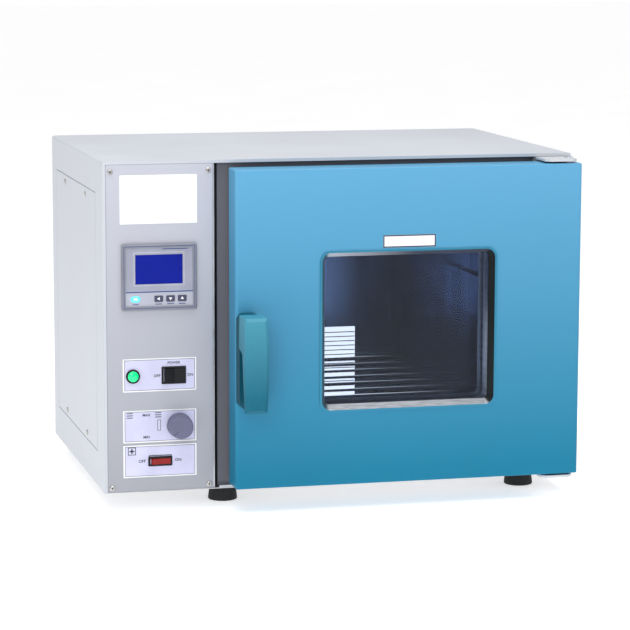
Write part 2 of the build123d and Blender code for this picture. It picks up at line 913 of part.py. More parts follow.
def vent_tube():
    """Air intake: a short tube from the control section into the duct, flanged at the partition."""
    x0 = vent_x - vent_tube_stub
    tube = rod_x(vent_tube_r, x0, duct_x0, vent_tube_y, vent_z)
    tube += rod_x(vent_flange_r, partition_x - sheet_t, partition_x, vent_tube_y, vent_z)
    tube -= rod_x(vent_tube_r - vent_tube_t, x0 - 1, duct_x0 + 1, vent_tube_y, vent_z)
    reach = vent_tube_r + 2
    return tube - rod_y(
        shaft_r + running_gap, vent_tube_y - reach, vent_tube_y + reach, vent_x, vent_z,
    )


def vent_damper():
    """Round flap across the tube, on a sleeve that the shaft passes through."""
    disc_r = vent_tube_r - vent_tube_t - damper_gap
    disc = rod_x(disc_r, vent_x - damper_t / 2, vent_x + damper_t / 2, vent_tube_y, vent_z)
    sleeve_half = disc_r - 2
    disc += rod_y(
        shaft_r + 1.5, vent_tube_y - sleeve_half, vent_tube_y + sleeve_half, vent_x, vent_z,
    )
    return disc - rod_y(
        shaft_r + running_gap, vent_tube_y - disc_r - 1, vent_tube_y + disc_r + 1, vent_x, vent_z,
    )


# Chamber

def chamber_frame():
    """Recessed front frame round the chamber's mouth."""
    frame = block(
        frame_x0, inner_x1, frame_y, frame_y + sheet_t, inner_z0, inner_z1,
    )
    corner = frame.edges().filter_by(Axis.Y).group_by(Axis.Z)[-1].sort_by(Axis.X)[-1]
    frame = fillet(corner, cover_bend_r)
    frame += block(
        frame_x0, frame_x0 + sheet_t, frame_y, frame_y + frame_return, inner_z0, inner_z1,
    )
    frame -= slab(
        chamber_x0, chamber_x1, frame_y - 1, frame_y + sheet_t + 1,
        chamber_z0, chamber_z1, mouth_corner_r,
    )
    return frame


def chamber_liner():
    """Stainless box that holds the shelf and, on its left, the air duct."""
    x0 = duct_x0 - liner_t
    x1 = chamber_x1 + liner_t
    z0 = chamber_z0 - liner_t
    z1 = chamber_z1 + liner_t
    liner = block(x0, x1, chamber_y0, chamber_y1 + liner_t, z0, z1)
    liner += block(
        x0 - liner_flange, x1 + liner_flange, chamber_y0, chamber_y0 + liner_t,
        z0 - liner_flange, z1 + liner_flange,
    )
    liner -= block(duct_x0, chamber_x1, chamber_y0 - 1, chamber_y1, chamber_z0, chamber_z1)
    liner -= wall_openings()
    liner -= rod_y(exhaust_r + slip_gap, chamber_y1 - 1, chamber_y1 + 2, chamber_x, exhaust_z)
    return liner


def insulation_jacket():
    """Mineral wool that fills the cabinet round the liner."""
    x0 = frame_x0 + sheet_t + insulation_gap
    y0 = chamber_y0 + liner_t + insulation_gap
    y1 = back_y - 2 * sheet_t - insulation_gap
    pan_edge = sheet_t + insulation_gap
    jacket = block(
        x0, inner_x1 - pan_edge, y0, y1, inner_z0 + slip_gap, inner_z1 - slip_gap,
    )
    jacket -= block(
        duct_x0 - liner_t - insulation_gap, chamber_x1 + liner_t + insulation_gap,
        y0 - 1, chamber_y1 + liner_t + insulation_gap,
        chamber_z0 - liner_t - insulation_gap, chamber_z1 + liner_t + insulation_gap,
    )
    jacket -= wall_openings()
    for x, y in foot_places:
        jacket -= rod_z(screw_r + 5, 0, 12, x, y)
    return jacket - rod_y(exhaust_r + slip_gap, chamber_y1, y1 + 1, chamber_x, exhaust_z)


def air_baffle():
    """Perforated left wall of the chamber, with the fan and the heater behind it."""
    x0 = chamber_x0 - liner_t
    y0 = chamber_y0 + liner_t
    y1 = chamber_y1 - slip_gap
    z0 = chamber_z0 + slip_gap
    z1 = chamber_z1 - slip_gap
    baffle = block(x0, chamber_x0, y0, y1, z0, z1)
    baffle += block(x0 - baffle_flange, x0, y0, y1, z0, z0 + liner_t)
    baffle += block(x0 - baffle_flange, x0, y0, y1, z1 - liner_t, z1)
    slots = []
    for i in range(baffle_slot_rows):
        z = fan_z + (i - (baffle_slot_rows - 1) / 2) * baffle_slot_pitch
        for y in (y0 + baffle_column_inset, y1 - baffle_column_inset - baffle_slot_w):
            slots.append(block(
                x0 - 1, chamber_x0 + 1, y, y + baffle_slot_w,
                z - baffle_slot_h / 2, z + baffle_slot_h / 2,
            ))
    holes = [rod_x(baffle_hole_r, x0 - 1, chamber_x0 + 1, fan_y, fan_z)]
    for ring in (1, 2):
        for i in range(6 * ring):
            angle = 2 * math.pi * i / (6 * ring)
            holes.append(rod_x(
                baffle_hole_r, x0 - 1, chamber_x0 + 1,
                fan_y + ring * baffle_hole_pitch * math.cos(angle),
                fan_z + ring * baffle_hole_pitch * math.sin(angle),
            ))
    baffle -= slots
    baffle -= holes
    return baffle - rod_x(probe_r + slip_gap, x0 - 1, chamber_x0 + 1, probe_y, probe_z)


def air_guide():
    """White enamelled plate low on the back wall, where the air returns to the duct."""
    x0 = chamber_x0 + air_guide_gap
    z0 = chamber_z0 + slip_gap
    y0 = chamber_y1 - air_guide_t
    guide = block(x0, x0 + air_guide_w, y0, chamber_y1, z0, z0 + air_guide_h)
    return chamfer(guide.faces().sort_by(Axis.Y)[0].outer_wire().edges(), air_guide_t / 2)


def rail_ladder(wall_x, side):
    """Angles for the shelf on two uprights; side is +1 where they stand to the wall's right."""
    y0 = chamber_y0 + rail_inset_y
    y1 = chamber_y1 - rail_inset_y
    z_top = chamber_z0 + rail_first_z + (rail_count - 1) * rail_pitch + rail_w

    def span(depth):
        return (wall_x, wall_x + depth) if side > 0 else (wall_x - depth, wall_x)

    thin = span(rail_t)
    wide = span(rail_w)
    ladder = None
    for y in (y0 + 20, y1 - 20 - rail_upright_w):
        upright = block(*thin, y, y + rail_upright_w, chamber_z0 + 20, z_top)
        ladder = upright if ladder is None else ladder + upright
    for i in range(rail_count):
        z = chamber_z0 + rail_first_z + i * rail_pitch
        ladder += block(*wide, y0, y1, z - rail_t, z)
        ladder += block(*thin, y0, y1, z - rail_w, z)
    return ladder


def shelf_rails():
    return [rail_ladder(chamber_x0, 1), rail_ladder(chamber_x1, -1)]


def wire_shelf():
    """Welded wire shelf: a frame of heavier wire and cross wires from side to side."""
    x0 = chamber_x0 + shelf_gap_x + shelf_frame_r
    x1 = chamber_x1 - shelf_gap_x - shelf_frame_r
    y0 = chamber_y0 + shelf_inset_front + shelf_frame_r
    y1 = chamber_y1 - shelf_inset_back - shelf_frame_r
    corner = 10.0
    outline = Pos((x0 + x1) / 2, (y0 + y1) / 2, shelf_z) * RectangleRounded(x1 - x0, y1 - y0, corner)
    path = outline.face().outer_wire()
    start = path @ 0
    section = Plane(origin=start, z_dir=path % 0) * Circle(shelf_frame_r)
    shelf = sweep(section, path=path)
    for i in range(1, shelf_rods - 1):
        y = y0 + i * (y1 - y0) / (shelf_rods - 1)
        shelf += rod_x(shelf_rod_r, x0, x1, y, shelf_z)
    return shelf


# Fan

impeller_x1 = chamber_x0 - liner_t - impeller_side_gap
impeller_x0 = impeller_x1 - impeller_w
motor_x1 = partition_x - motor_standoff
motor_x0 = motor_x1 - motor_l


def fan_impeller():
    """Centrifugal wheel: back disc, swept blades, front ring and hub."""
    wheel = rod_x(impeller_r, impeller_x0, impeller_x0 + impeller_plate_t, fan_y, fan_z)
    ring = rod_x(impeller_r, impeller_x1 - impeller_plate_t, impeller_x1, fan_y, fan_z)
    ring -= rod_x(impeller_eye_r, impeller_x0, impeller_x1 + 1, fan_y, fan_z)
    wheel += ring
    wheel += rod_x(impeller_hub_r, impeller_x0 - 3, impeller_x0 + 12, fan_y, fan_z)
    root_r = impeller_eye_r + 1
    tip_r = impeller_r - 0.5
    sweep_angle = math.radians(blade_sweep)

    def polar(radius, angle):
        return (radius * math.cos(angle), radius * math.sin(angle))

    mid_r = (root_r + tip_r) / 2
    half = blade_t / 2
    blade_face = make_face(
        ThreePointArc(
            polar(root_r, half / root_r),
            polar(mid_r, sweep_angle * 0.35 + half / mid_r),
            polar(tip_r, sweep_angle + half / tip_r),
        )
        + Line(polar(tip_r, sweep_angle + half / tip_r), polar(tip_r, sweep_angle - half / tip_r))
        + ThreePointArc(
            polar(tip_r, sweep_angle - half / tip_r),
            polar(mid_r, sweep_angle * 0.35 - half / mid_r),
            polar(root_r, -half / root_r),
        )
        + Line(polar(root_r, -half / root_r), polar(root_r, half / root_r))
    )
    blade = extrude(blade_face, amount=impeller_w - impeller_plate_t)
    stand = Pos(impeller_x0 + impeller_plate_t / 2, fan_y, fan_z) * Rot(Y=90)
    for i in range(impeller_blades):
        wheel += stand * Rot(Z=i * 360 / impeller_blades) * blade
    return wheel - rod_x(fan_shaft_r + running_gap, impeller_x0 - 5, impeller_x1, fan_y, fan_z)


def fan_shaft():
    return rod_x(fan_shaft_r, motor_x1 - motor_bore_l + rest_gap, impeller_x0 + 14, fan_y, fan_z)


def fan_motor():
    """Motor with a finned barrel, bored for the shaft that its bearings carry."""
    barrel = rod_x(motor_r, motor_x0, motor_x1, fan_y, fan_z)
    barrel = fillet(barrel.edges().group_by(Axis.X)[0], 6.0)
    groove_w = 3.0
    for i in range(4):
        x = motor_x0 + 16 + i * 10
        groove = rod_x(motor_r + 1, x, x + groove_w, fan_y, fan_z)
        groove -= rod_x(motor_r - 3, x - 1, x + groove_w + 1, fan_y, fan_z)
        barrel -= groove
    return barrel - rod_x(fan_shaft_r + running_gap, motor_x1 - motor_bore_l, motor_x1 + 1, fan_y, fan_z)


def fan_motor_bracket():
    """Plate in front of the motor on four posts that stand on the partition."""
    half = motor_plate_w / 2
    bracket = block(
        motor_x1, motor_x1 + motor_plate_t, fan_y - half, fan_y + half, fan_z - half, fan_z + half,
    )
    bracket -= rod_x(fan_shaft_r + 2, motor_x1 - 1, motor_x1 + motor_plate_t + 1, fan_y, fan_z)
    for dy in (-1, 1):
        for dz in (-1, 1):
            y = fan_y + dy * (half - motor_post_r - 1)
            z = fan_z + dz * (half - motor_post_r - 1)
            bracket += rod_x(motor_post_r, motor_x1 + motor_plate_t, partition_x, y, z)
    return bracket


# Heater and probe

heater_x = (impeller_x0 + impeller_x1) / 2


def heater_ends():
    """Where the two straight ends of the element pass through the walls, as (y, z)."""
    half = math.radians(heater_gap_angle / 2)
    return [
        (fan_y + heater_ring_r * math.cos(angle), fan_z + heater_ring_r * math.sin(angle))
        for angle in (math.pi / 2 - half, math.pi / 2 + half)
    ]


def heater_element():
    """Tubular element: a nearly closed ring round the wheel with both ends led out."""
    section = Pos(heater_ring_r, 0, 0) * (Plane.XZ * Circle(heater_tube_r))
    ring = revolve(section, axis=Axis.Z, revolution_arc=360 - heater_gap_angle)
    stand = Pos(heater_x, fan_y, fan_z) * Rot(Y=90)
    element = stand * Rot(Z=180 + heater_gap_angle / 2) * ring
    for y, z in heater_ends():
        element += Pos(heater_x, y, z) * Sphere(heater_tube_r + heater_collar)
        element += rod_x(heater_tube_r, partition_x - 3, heater_x, y, z)
        element += rod_x(heater_tube_r * 0.45, partition_x - heater_terminal, partition_x, y, z)
    return element


def temperature_probe():
    probe = rod_x(probe_r, partition_x - probe_nut_t - 6, chamber_x0 + probe_reach, probe_y, probe_z)
    nut = Plane.YZ * RegularPolygon(probe_nut_r, 6)
    probe += Pos(partition_x - probe_nut_t, probe_y, probe_z) * extrude(nut, amount=probe_nut_t)
    tip = probe.edges().group_by(Axis.X)[-1]
    return fillet(tip, probe_r * 0.8)


# Rear

def exhaust_spigot():
    """Outlet tube from the chamber's back wall to a short spigot behind the oven."""
    y1 = cabinet_d + exhaust_proud
    tube = rod_y(exhaust_r, chamber_y1, y1, chamber_x, exhaust_z)
    tube += rod_y(exhaust_flange_r, cabinet_d, cabinet_d + exhaust_flange_t, chamber_x, exhaust_z)
    return tube - rod_y(exhaust_r - exhaust_t, chamber_y1 - 1, y1 + 1, chamber_x, exhaust_z)


def power_inlet():
    """Three-pin appliance inlet in the rear panel."""
    front = cabinet_d + inlet_flange_t
    body = slab(
        inlet_x - inlet_flange_w / 2, inlet_x + inlet_flange_w / 2, cabinet_d, front,
        inlet_z - inlet_h / 2 - 2, inlet_z + inlet_h / 2 + 2, 5.0,
    )
    body += block(
        inlet_x - inlet_w / 2, inlet_x + inlet_w / 2, front - inlet_depth, cabinet_d,
        inlet_z - inlet_h / 2, inlet_z + inlet_h / 2,
    )
    body -= block(
        inlet_x - inlet_w / 2 + inlet_wall, inlet_x + inlet_w / 2 - inlet_wall,
        front - inlet_cavity_depth, front + 1,
        inlet_z - inlet_h / 2 + inlet_wall, inlet_z + inlet_h / 2 - inlet_wall,
    )
    for dx, dz in ((-7, -2), (0, 2), (7, -2)):
        body += block(
            inlet_x + dx - 1, inlet_x + dx + 1,
            front - inlet_cavity_depth - 1, front - 5,
            inlet_z + dz - 2, inlet_z + dz + 2,
        )
    return body


# Door

def window_cut(grow, y0, y1):
    """The window's outline as a solid, larger all round by grow."""
    return slab(
        window_x - window_w / 2 - grow, window_x + window_w / 2 + grow, y0, y1,
        window_z - window_h / 2 - grow, window_z + window_h / 2 + grow,
        window_corner_r + grow,
    )


def handle_screw_places():
    x = door_x0 + handle_edge + handle_w / 2
    top = handle_z0 + handle_h - handle_block_h / 2
    return [(x, top), (x, handle_z0 + handle_block_h / 2)]


def door_skin():
    """Painted outer pan of the door, open at the back."""
    skin = block(door_x0, door_x1, door_front, door_back, door_z0, door_z1)
    skin = fillet(skin.edges().filter_by(Axis.Z), door_edge_r)
    skin = fillet(skin.faces().sort_by(Axis.Y)[0].outer_wire().edges(), door_edge_r / 2)
    skin -= block(
        door_x0 + sheet_t, door_x1 - sheet_t, door_front + sheet_t, door_back + 1,
        door_z0 + sheet_t, door_z1 - sheet_t,
    )
    skin -= window_cut(-trim_flange, door_front - 1, door_front + sheet_t + 1)
    skin -= rod_z(hinge_pin_r + bush_wall + slip_gap, door_z0 - 1, door_z1 + 1, hinge_x, hinge_y)
    for x, z in handle_screw_places():
        skin -= screw_hole((x, door_front, z), (0, 1, 0), sheet_t)
    return skin


def plug_span(grow):
    """The raised part of the door's inner panel, as (x0, x1, z0, z1)."""
    m = door_plug_margin + grow
    return (chamber_x0 - m, chamber_x1 + m, chamber_z0 - m, chamber_z1 + m)


plug_back = door_back + door_plug_depth


def door_inner_panel():
    """Stainless back of the door, pressed out towards the chamber."""
    g = slip_gap
    panel = block(
        door_x0 + sheet_t + g, door_x1 - sheet_t - g, door_back - liner_t, door_back,
        door_z0 + sheet_t + g, door_z1 - sheet_t - g,
    )
    x0, x1, z0, z1 = plug_span(0)
    panel += slab(x0, x1, door_back - liner_t, plug_back, z0, z1, 12.0)
    panel -= slab(
        x0 + liner_t, x1 - liner_t, door_back - liner_t - 1, plug_back - liner_t,
        z0 + liner_t, z1 - liner_t, 11.0,
    )
    panel -= window_cut(-window_narrow, plug_back - liner_t - 1, plug_back + 1)
    return panel


outer_pane_y = door_front + outer_pane_depth
inner_pane_y = plug_back - liner_t - pane_t


def window_panes():
    """Outer pane behind the trim and inner pane against the inner panel."""
    outer = window_cut(pane_grow, outer_pane_y, outer_pane_y + pane_t)
    inner = window_cut(pane_grow, inner_pane_y, inner_pane_y + pane_t)
    return [outer, inner]


def window_spacer():
    """Frame that keeps the two panes apart and the wool out of sight."""
    y0 = outer_pane_y + pane_t
    outer = window_cut(pane_grow, y0, inner_pane_y)
    return outer - window_cut(pane_grow - spacer_wall, y0 - 1, inner_pane_y + 1)


def window_outline(narrower, y):
    """The window's outline as a flat face at y, smaller all round."""
    flat = RectangleRounded(
        window_w - 2 * narrower, window_h - 2 * narrower, window_corner_r - narrower,
    )
    return Pos(window_x, y, window_z) * (Plane.XZ * flat)


def window_trim():
    """Bright frame let into the door: a thin flange, a bevel and a sleeve down to the glass."""
    front = door_front - trim_flange_t
    ring = window_cut(0, front, door_front)
    ring += window_cut(-trim_flange - slip_gap, door_front, outer_pane_y)
    ring -= window_cut(-window_narrow, front - 1, outer_pane_y + 1)
    wide = window_outline(trim_land, front)
    narrow = window_outline(window_narrow, outer_pane_y - 1)
    return ring - loft([wide.face(), narrow.face()])


def door_insulation():
    """Wool in the door round the window, cleared for bushes and screws."""
    g = insulation_gap
    wool = block(
        door_x0 + sheet_t + g, door_x1 - sheet_t - g,
        door_front + sheet_t + g, door_back - liner_t - g,
        door_z0 + sheet_t + g, door_z1 - sheet_t - g,
    )
    wool -= window_cut(pane_grow + g, door_front, door_back + 1)
    pocket_r = hinge_pin_r + bush_wall + 1
    for z0, z1 in (
        (door_z0 - 1, door_z0 + hinge_bush_l + 4),
        (door_z1 - hinge_bush_l - 4, door_z1 + 1),
    ):
        wool -= rod_z(pocket_r, z0, z1, hinge_x, hinge_y)
    for x, z in handle_screw_places():
        wool -= rod_y(screw_head_r + 1, door_front, door_front + 8, x, z)
    return wool


def door_gasket():
    """Silicone seal round the chamber's mouth, on the door."""
    y0 = plug_back
    y1 = frame_y - gasket_gap
    grow = gasket_inset
    inner = slab(
        chamber_x0 - grow, chamber_x1 + grow, y0 - 1, y1 + 1,
        chamber_z0 - grow, chamber_z1 + grow, mouth_corner_r + grow,
    )
    grow += gasket_w
    outer = slab(
        chamber_x0 - grow, chamber_x1 + grow, y0, y1,
        chamber_z0 - grow, chamber_z1 + grow, mouth_corner_r + grow,
    )
    outer = chamfer(outer.faces().sort_by(Axis.Y)[-1].outer_wire().edges(), 2.0)
    return outer - inner


def window_label():
    """Small blank plate above the window."""
    z0 = window_z + window_h / 2 + label_gap
    return slab(
        window_x - label_w / 2, window_x + label_w / 2,
        door_front - plate_t, door_front, z0, z0 + label_h, 1.0,
    )


# Handle

handle_x0 = door_x0 + handle_edge
handle_x1 = handle_x0 + handle_w
handle_z1 = handle_z0 + handle_h
handle_base_y = door_front - handle_base_d
handle_front = handle_base_y - handle_grip_d


def handle_base():
    """Block on the door that carries the grip."""
    base = slab(handle_x0, handle_x1, handle_base_y, door_front, handle_z0, handle_z1, handle_corner_r)
    for x, z in handle_screw_places():
        depth = handle_base_d if z > (handle_z0 + handle_z1) / 2 else handle_base_d - 6
        base -= screw_hole((x, door_front, z), (0, -1, 0), depth)
    return base


def handle_grip():
    """Moulded grip: solid at the top, hollowed for the fingers from the left and from below."""
    mid_z = (handle_z0 + handle_z1) / 2
    outline = make_face(Plane.XZ * (
        ThreePointArc((handle_x0, handle_z0), (handle_x0 - handle_bow / 3, mid_z), (handle_x0, handle_z1))
        + Line((handle_x0, handle_z1), (handle_x1, handle_z1))
        + ThreePointArc((handle_x1, handle_z1), (handle_x1 + handle_bow, mid_z), (handle_x1, handle_z0))
        + Line((handle_x1, handle_z0), (handle_x0, handle_z0))
    ))
    grip = Pos(0, handle_base_y, 0) * extrude(outline, amount=handle_grip_d, dir=(0, -1, 0))
    front_edges = grip.faces().sort_by(Axis.Y)[0].outer_wire().edges()
    grip = chamfer(front_edges, handle_chamfer)
    notch_z = handle_z1 - handle_block_h
    pocket = make_face(Plane.YZ * Polyline(
        (handle_base_y + 1, notch_z + 2),
        (handle_front + handle_root_t, notch_z - 4),
        (handle_front + handle_tip_t, handle_z0 - 1),
        (handle_base_y + 1, handle_z0 - 1),
        close=True,
    ))
    width = handle_w + handle_bow - handle_web_t
    pocket = Pos(handle_x0 - handle_bow, 0, 0) * extrude(pocket, amount=width, dir=(1, 0, 0))
    grip -= pocket
    x, z = handle_screw_places()[0]
    return grip - screw_hole((x, handle_base_y + 1, z), (0, -1, 0), 12)


def handle_screws():
    (x, top), (_, bottom) = handle_screw_places()
    seat = door_front + sheet_t
    return [
        screw((x, seat, top), (0, -1, 0), sheet_t + handle_base_d + 9),
        screw((x, seat, bottom), (0, -1, 0), sheet_t + handle_base_d - 8),
    ]


# Hinges

def hinge_plate_x0():
    return hinge_x + hinge_edge - sheet_t - rim_lip - hinge_plate_w


def hinge_bracket(plate_z0, leg_z0, leg_z1):
    """Plate that reaches over the door, on a leg against the chamber's frame."""
    x0 = hinge_plate_x0()
    x1 = x0 + hinge_plate_w
    plate = block(
        x0, x1, -hinge_plate_reach, frame_y, plate_z0, plate_z0 + hinge_plate_t,
    )
    front_corners = plate.edges().filter_by(Axis.Z).group_by(Axis.Y)[0]
    plate = chamfer(front_corners, 7.0)
    leg = block(x0, x1, frame_y - hinge_plate_t, frame_y, leg_z0, leg_z1)
    bracket = plate + leg
    bracket -= rod_z(
        hinge_pin_r + running_gap, plate_z0 - 1, plate_z0 + hinge_plate_t + 1, hinge_x, hinge_y,
    )
    for x, z in hinge_screw_places((leg_z0 + leg_z1) / 2):
        bracket -= screw_hole((x, frame_y - hinge_plate_t, z), (0, 1, 0), hinge_plate_t)
    return bracket


top_plate_z = door_z1 + hinge_gap
bottom_plate_z = door_z0 - hinge_gap - hinge_plate_t
top_leg = (top_plate_z - hinge_leg_h, top_plate_z)
bottom_leg = (bottom_plate_z + hinge_plate_t, bottom_plate_z + hinge_plate_t + hinge_leg_h)


def hinge_screw_places(z):
    x0 = hinge_plate_x0()
    return [(x0 + 10, z), (x0 + hinge_plate_w - 10, z)]


def hinge_brackets():
    return [
        hinge_bracket(top_plate_z, *top_leg),
        hinge_bracket(bottom_plate_z, *bottom_leg),
    ]


def hinge_pins():
    """Headed pins in the brackets that run in the door's bushes."""
    top = top_plate_z + hinge_plate_t
    upper = rod_z(hinge_pin_r, door_z1 - hinge_pin_l + hinge_gap, top, hinge_x, hinge_y)
    upper += rod_z(hinge_head_r, top, top + hinge_head_h, hinge_x, hinge_y)
    low = bottom_plate_z
    lower = rod_z(hinge_pin_r, low, door_z0 + hinge_pin_l - hinge_gap, hinge_x, hinge_y)
    lower += rod_z(hinge_head_r, low - hinge_head_h, low, hinge_x, hinge_y)
    return [upper, lower]


def hinge_bushes():
    """Flanged bushes in the door's top and bottom edges."""
    made = []
    outer_r = hinge_pin_r + bush_wall
    flange_t = hinge_gap - rest_gap
    for z, up in ((door_z1, 1), (door_z0, -1)):
        body = Pos(0, 0, -hinge_bush_l / 2) * Cylinder(outer_r, hinge_bush_l)
        body += Pos(0, 0, flange_t / 2) * Cylinder(outer_r + 2, flange_t)
        body -= Cylinder(hinge_pin_r + running_gap, 4 * hinge_bush_l)
        turn = Rot(X=0) if up > 0 else Rot(X=180)
        made.append(Pos(hinge_x, hinge_y, z) * turn * body)
    return made


# Catch

catch_x0 = door_x0 + 6


def magnetic_catch():
    """Magnet block on the chamber's frame."""
    y0 = door_back + catch_strike_t + catch_gap
    z = (door_z0 + door_z1) / 2
    magnet = block(catch_x0, catch_x0 + catch_w, y0, frame_y, z - catch_h / 2, z + catch_h / 2)
    return fillet(magnet.edges().filter_by(Axis.Y), 2.0)


def catch_strike():
    """Steel plate on the door that the magnet holds."""
    z = (door_z0 + door_z1) / 2
    return block(
        catch_x0, catch_x0 + catch_w, door_back, door_back + catch_strike_t,
        z - catch_h / 2, z + catch_h / 2,
    )


def left_key():
    return arrow_key(left_key_x)


def down_key():
    return arrow_key(down_key_x)


def up_key():
    return arrow_key(up_key_x)


makers = [
    outer_cover, side_access_cover, cabinet_screws, base_pan, back_panel, feet, foot_screws,
    control_panel, panel_mounting_angle, control_partition, panel_plates,
    controller_bezel, controller_face, display_window, controller_housing,
    set_key, left_key, down_key, up_key,
    switch_bodies, power_rocker, fan_rocker, pilot_lamp_body, pilot_lamp_lens,
    vent_bush, vent_knob, vent_shaft, vent_tube, vent_damper,
    chamber_frame, chamber_liner, insulation_jacket, air_baffle, air_guide, shelf_rails, wire_shelf,
    fan_impeller, fan_shaft, fan_motor, fan_motor_bracket, heater_element, temperature_probe,
    exhaust_spigot, power_inlet,
    door_skin, door_inner_panel, door_insulation, door_gasket,
    window_trim, window_panes, window_spacer, window_label,
    handle_base, handle_grip, handle_screws,
    hinge_brackets, hinge_pins, hinge_bushes, magnetic_catch, catch_strike,
]

nodes = {}
for maker in makers:
    made = maker()
    nodes[maker.__name__] = Compound(made) if isinstance(made, list) else made

boxes = [shape.bounding_box() for shape in nodes.values()]
origin_x = (min(box.min.X for box in boxes) + max(box.max.X for box in boxes)) / 2
origin_y = (min(box.min.Y for box in boxes) + max(box.max.Y for box in boxes)) / 2
origin_z = min(box.min.Z for box in boxes)

for name, shape in nodes.items():
    export_step(Pos(-origin_x, -origin_y, -origin_z) * shape, f"parts/{name}.step")
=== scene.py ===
# %% [markdown]
# # Dressing a bench-top drying oven
# The oven is a sheet-metal box on rubber feet. Its left fifth is a control panel, and the rest is
# a thick blue door with a window. The metal, its folds and its joints come from the CAD frame.
# This notebook adds what the CAD leaves out: paint, steel, glass, print and light.

# %% Load the oven
import math

import bpy
from mathutils import Matrix, Vector


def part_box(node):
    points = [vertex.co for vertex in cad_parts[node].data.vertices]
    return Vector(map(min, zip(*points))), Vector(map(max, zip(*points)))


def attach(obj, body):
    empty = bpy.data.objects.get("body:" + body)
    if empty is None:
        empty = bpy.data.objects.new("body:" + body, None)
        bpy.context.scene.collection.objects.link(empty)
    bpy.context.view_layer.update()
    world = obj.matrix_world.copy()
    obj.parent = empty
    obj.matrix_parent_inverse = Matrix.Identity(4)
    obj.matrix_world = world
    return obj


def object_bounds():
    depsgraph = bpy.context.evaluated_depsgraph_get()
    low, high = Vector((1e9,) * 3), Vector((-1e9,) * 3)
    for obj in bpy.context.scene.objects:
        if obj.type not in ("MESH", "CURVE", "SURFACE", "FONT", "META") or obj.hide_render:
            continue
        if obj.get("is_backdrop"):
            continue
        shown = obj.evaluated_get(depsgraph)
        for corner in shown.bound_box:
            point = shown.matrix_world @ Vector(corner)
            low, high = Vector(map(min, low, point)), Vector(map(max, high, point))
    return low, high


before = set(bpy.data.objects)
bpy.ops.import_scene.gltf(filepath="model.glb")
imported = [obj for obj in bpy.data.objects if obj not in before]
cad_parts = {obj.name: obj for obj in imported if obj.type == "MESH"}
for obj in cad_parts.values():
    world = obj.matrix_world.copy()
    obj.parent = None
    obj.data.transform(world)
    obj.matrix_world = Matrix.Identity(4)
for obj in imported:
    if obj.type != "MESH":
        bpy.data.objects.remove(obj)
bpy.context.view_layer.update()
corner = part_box("outer_cover")[0]


# %% [markdown]
# All sizes below are read off the real oven in millimetres, from the cabinet's lower left front
# corner: x to the right, y to the back, z up. One helper turns them into the frame's metres.

# %% Millimetres on the cabinet to metres in the frame
def spot(x, y, z):
    return corner + Vector((x, y, z)) / 1000


def mm(value):
    return value / 1000


def front_of(name):
    return (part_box(name)[0].y - corner.y) * 1000


# %% [markdown]
# ## Camera
# The oven was photographed with a long lens from the left and a little above, so the left side
# and the top show as narrow strips. The place and lens below put the cabinet's corners where
# they are in the picture.

# %% Camera
eye = spot(-574, -3387, 752)
turn, tip, lean = math.radians(14.22), math.radians(8.52), math.radians(0.17)
ahead = Vector((math.sin(turn) * math.cos(tip), math.cos(turn) * math.cos(tip), -math.sin(tip)))
level = Vector((math.cos(turn), -math.sin(turn), 0))
upward = level.cross(ahead)
right = level * math.cos(lean) + upward * math.sin(lean)
up = upward * math.cos(lean) - level * math.sin(lean)
lens = bpy.data.cameras.new("camera")
lens.sensor_width = 36
lens.lens = 2659 * 36 / 630
lens.clip_start = 0.05
camera = bpy.data.objects.new("camera", lens)
camera.matrix_world = Matrix((
    (right.x, up.x, -ahead.x, eye.x),
    (right.y, up.y, -ahead.y, eye.y),
    (right.z, up.z, -ahead.z, eye.z),
    (0, 0, 0, 1),
))
bpy.context.scene.collection.objects.link(camera)
bpy.context.scene.camera = camera
print("lens", round(lens.lens, 1), "mm, camera", [round(v, 3) for v in eye])


# %% [markdown]
# ## Materials
# Every finish starts in the same way: a Principled shader whose colour, roughness and bump are
# driven by noise on Object coordinates. The noise is weak, since factory paint is even, but it
# breaks up the highlights as real paint and metal do.

# %% A blank material and the noise that every finish shares
def blank(name):
    material = bpy.data.materials.new(name)
    material.use_nodes = True
    tree = material.node_tree
    shader = tree.nodes["Principled BSDF"]
    place = tree.nodes.new("ShaderNodeTexCoord")
    return material, tree, shader, place.outputs["Object"]


noise_low = 0.3
noise_high = 0.7


def noise(tree, place, scale, detail=3.0, stretch=(1, 1, 1)):
    spread = tree.nodes.new("ShaderNodeMapping")
    spread.inputs["Scale"].default_value = stretch
    grain = tree.nodes.new("ShaderNodeTexNoise")
    grain.inputs["Scale"].default_value = scale
    grain.inputs["Detail"].default_value = detail
    tree.links.new(place, spread.inputs["Vector"])
    tree.links.new(spread.outputs["Vector"], grain.inputs["Vector"])
    return grain.outputs["Fac"]


def between(tree, factor, low, high):
    ramp = tree.nodes.new("ShaderNodeValToRGB")
    ramp.color_ramp.elements[0].position = noise_low
    ramp.color_ramp.elements[1].position = noise_high
    ramp.color_ramp.elements[0].color = (*low, 1)
    ramp.color_ramp.elements[1].color = (*high, 1)
    tree.links.new(factor, ramp.inputs["Fac"])
    return ramp.outputs["Color"]


def ranged(tree, factor, low, high):
    span = tree.nodes.new("ShaderNodeMapRange")
    span.inputs["From Min"].default_value = noise_low
    span.inputs["From Max"].default_value = noise_high
    span.inputs["To Min"].default_value = low
    span.inputs["To Max"].default_value = high
    tree.links.new(factor, span.inputs["Value"])
    return span.outputs["Result"]


def relief(tree, shader, factor, strength, depth):
    bump = tree.nodes.new("ShaderNodeBump")
    bump.inputs["Strength"].default_value = strength
    bump.inputs["Distance"].default_value = depth
    tree.links.new(factor, bump.inputs["Height"])
    tree.links.new(bump.outputs["Normal"], shader.inputs["Normal"])


def tint(colour, factor):
    return tuple(min(1.0, channel * factor) for channel in colour)


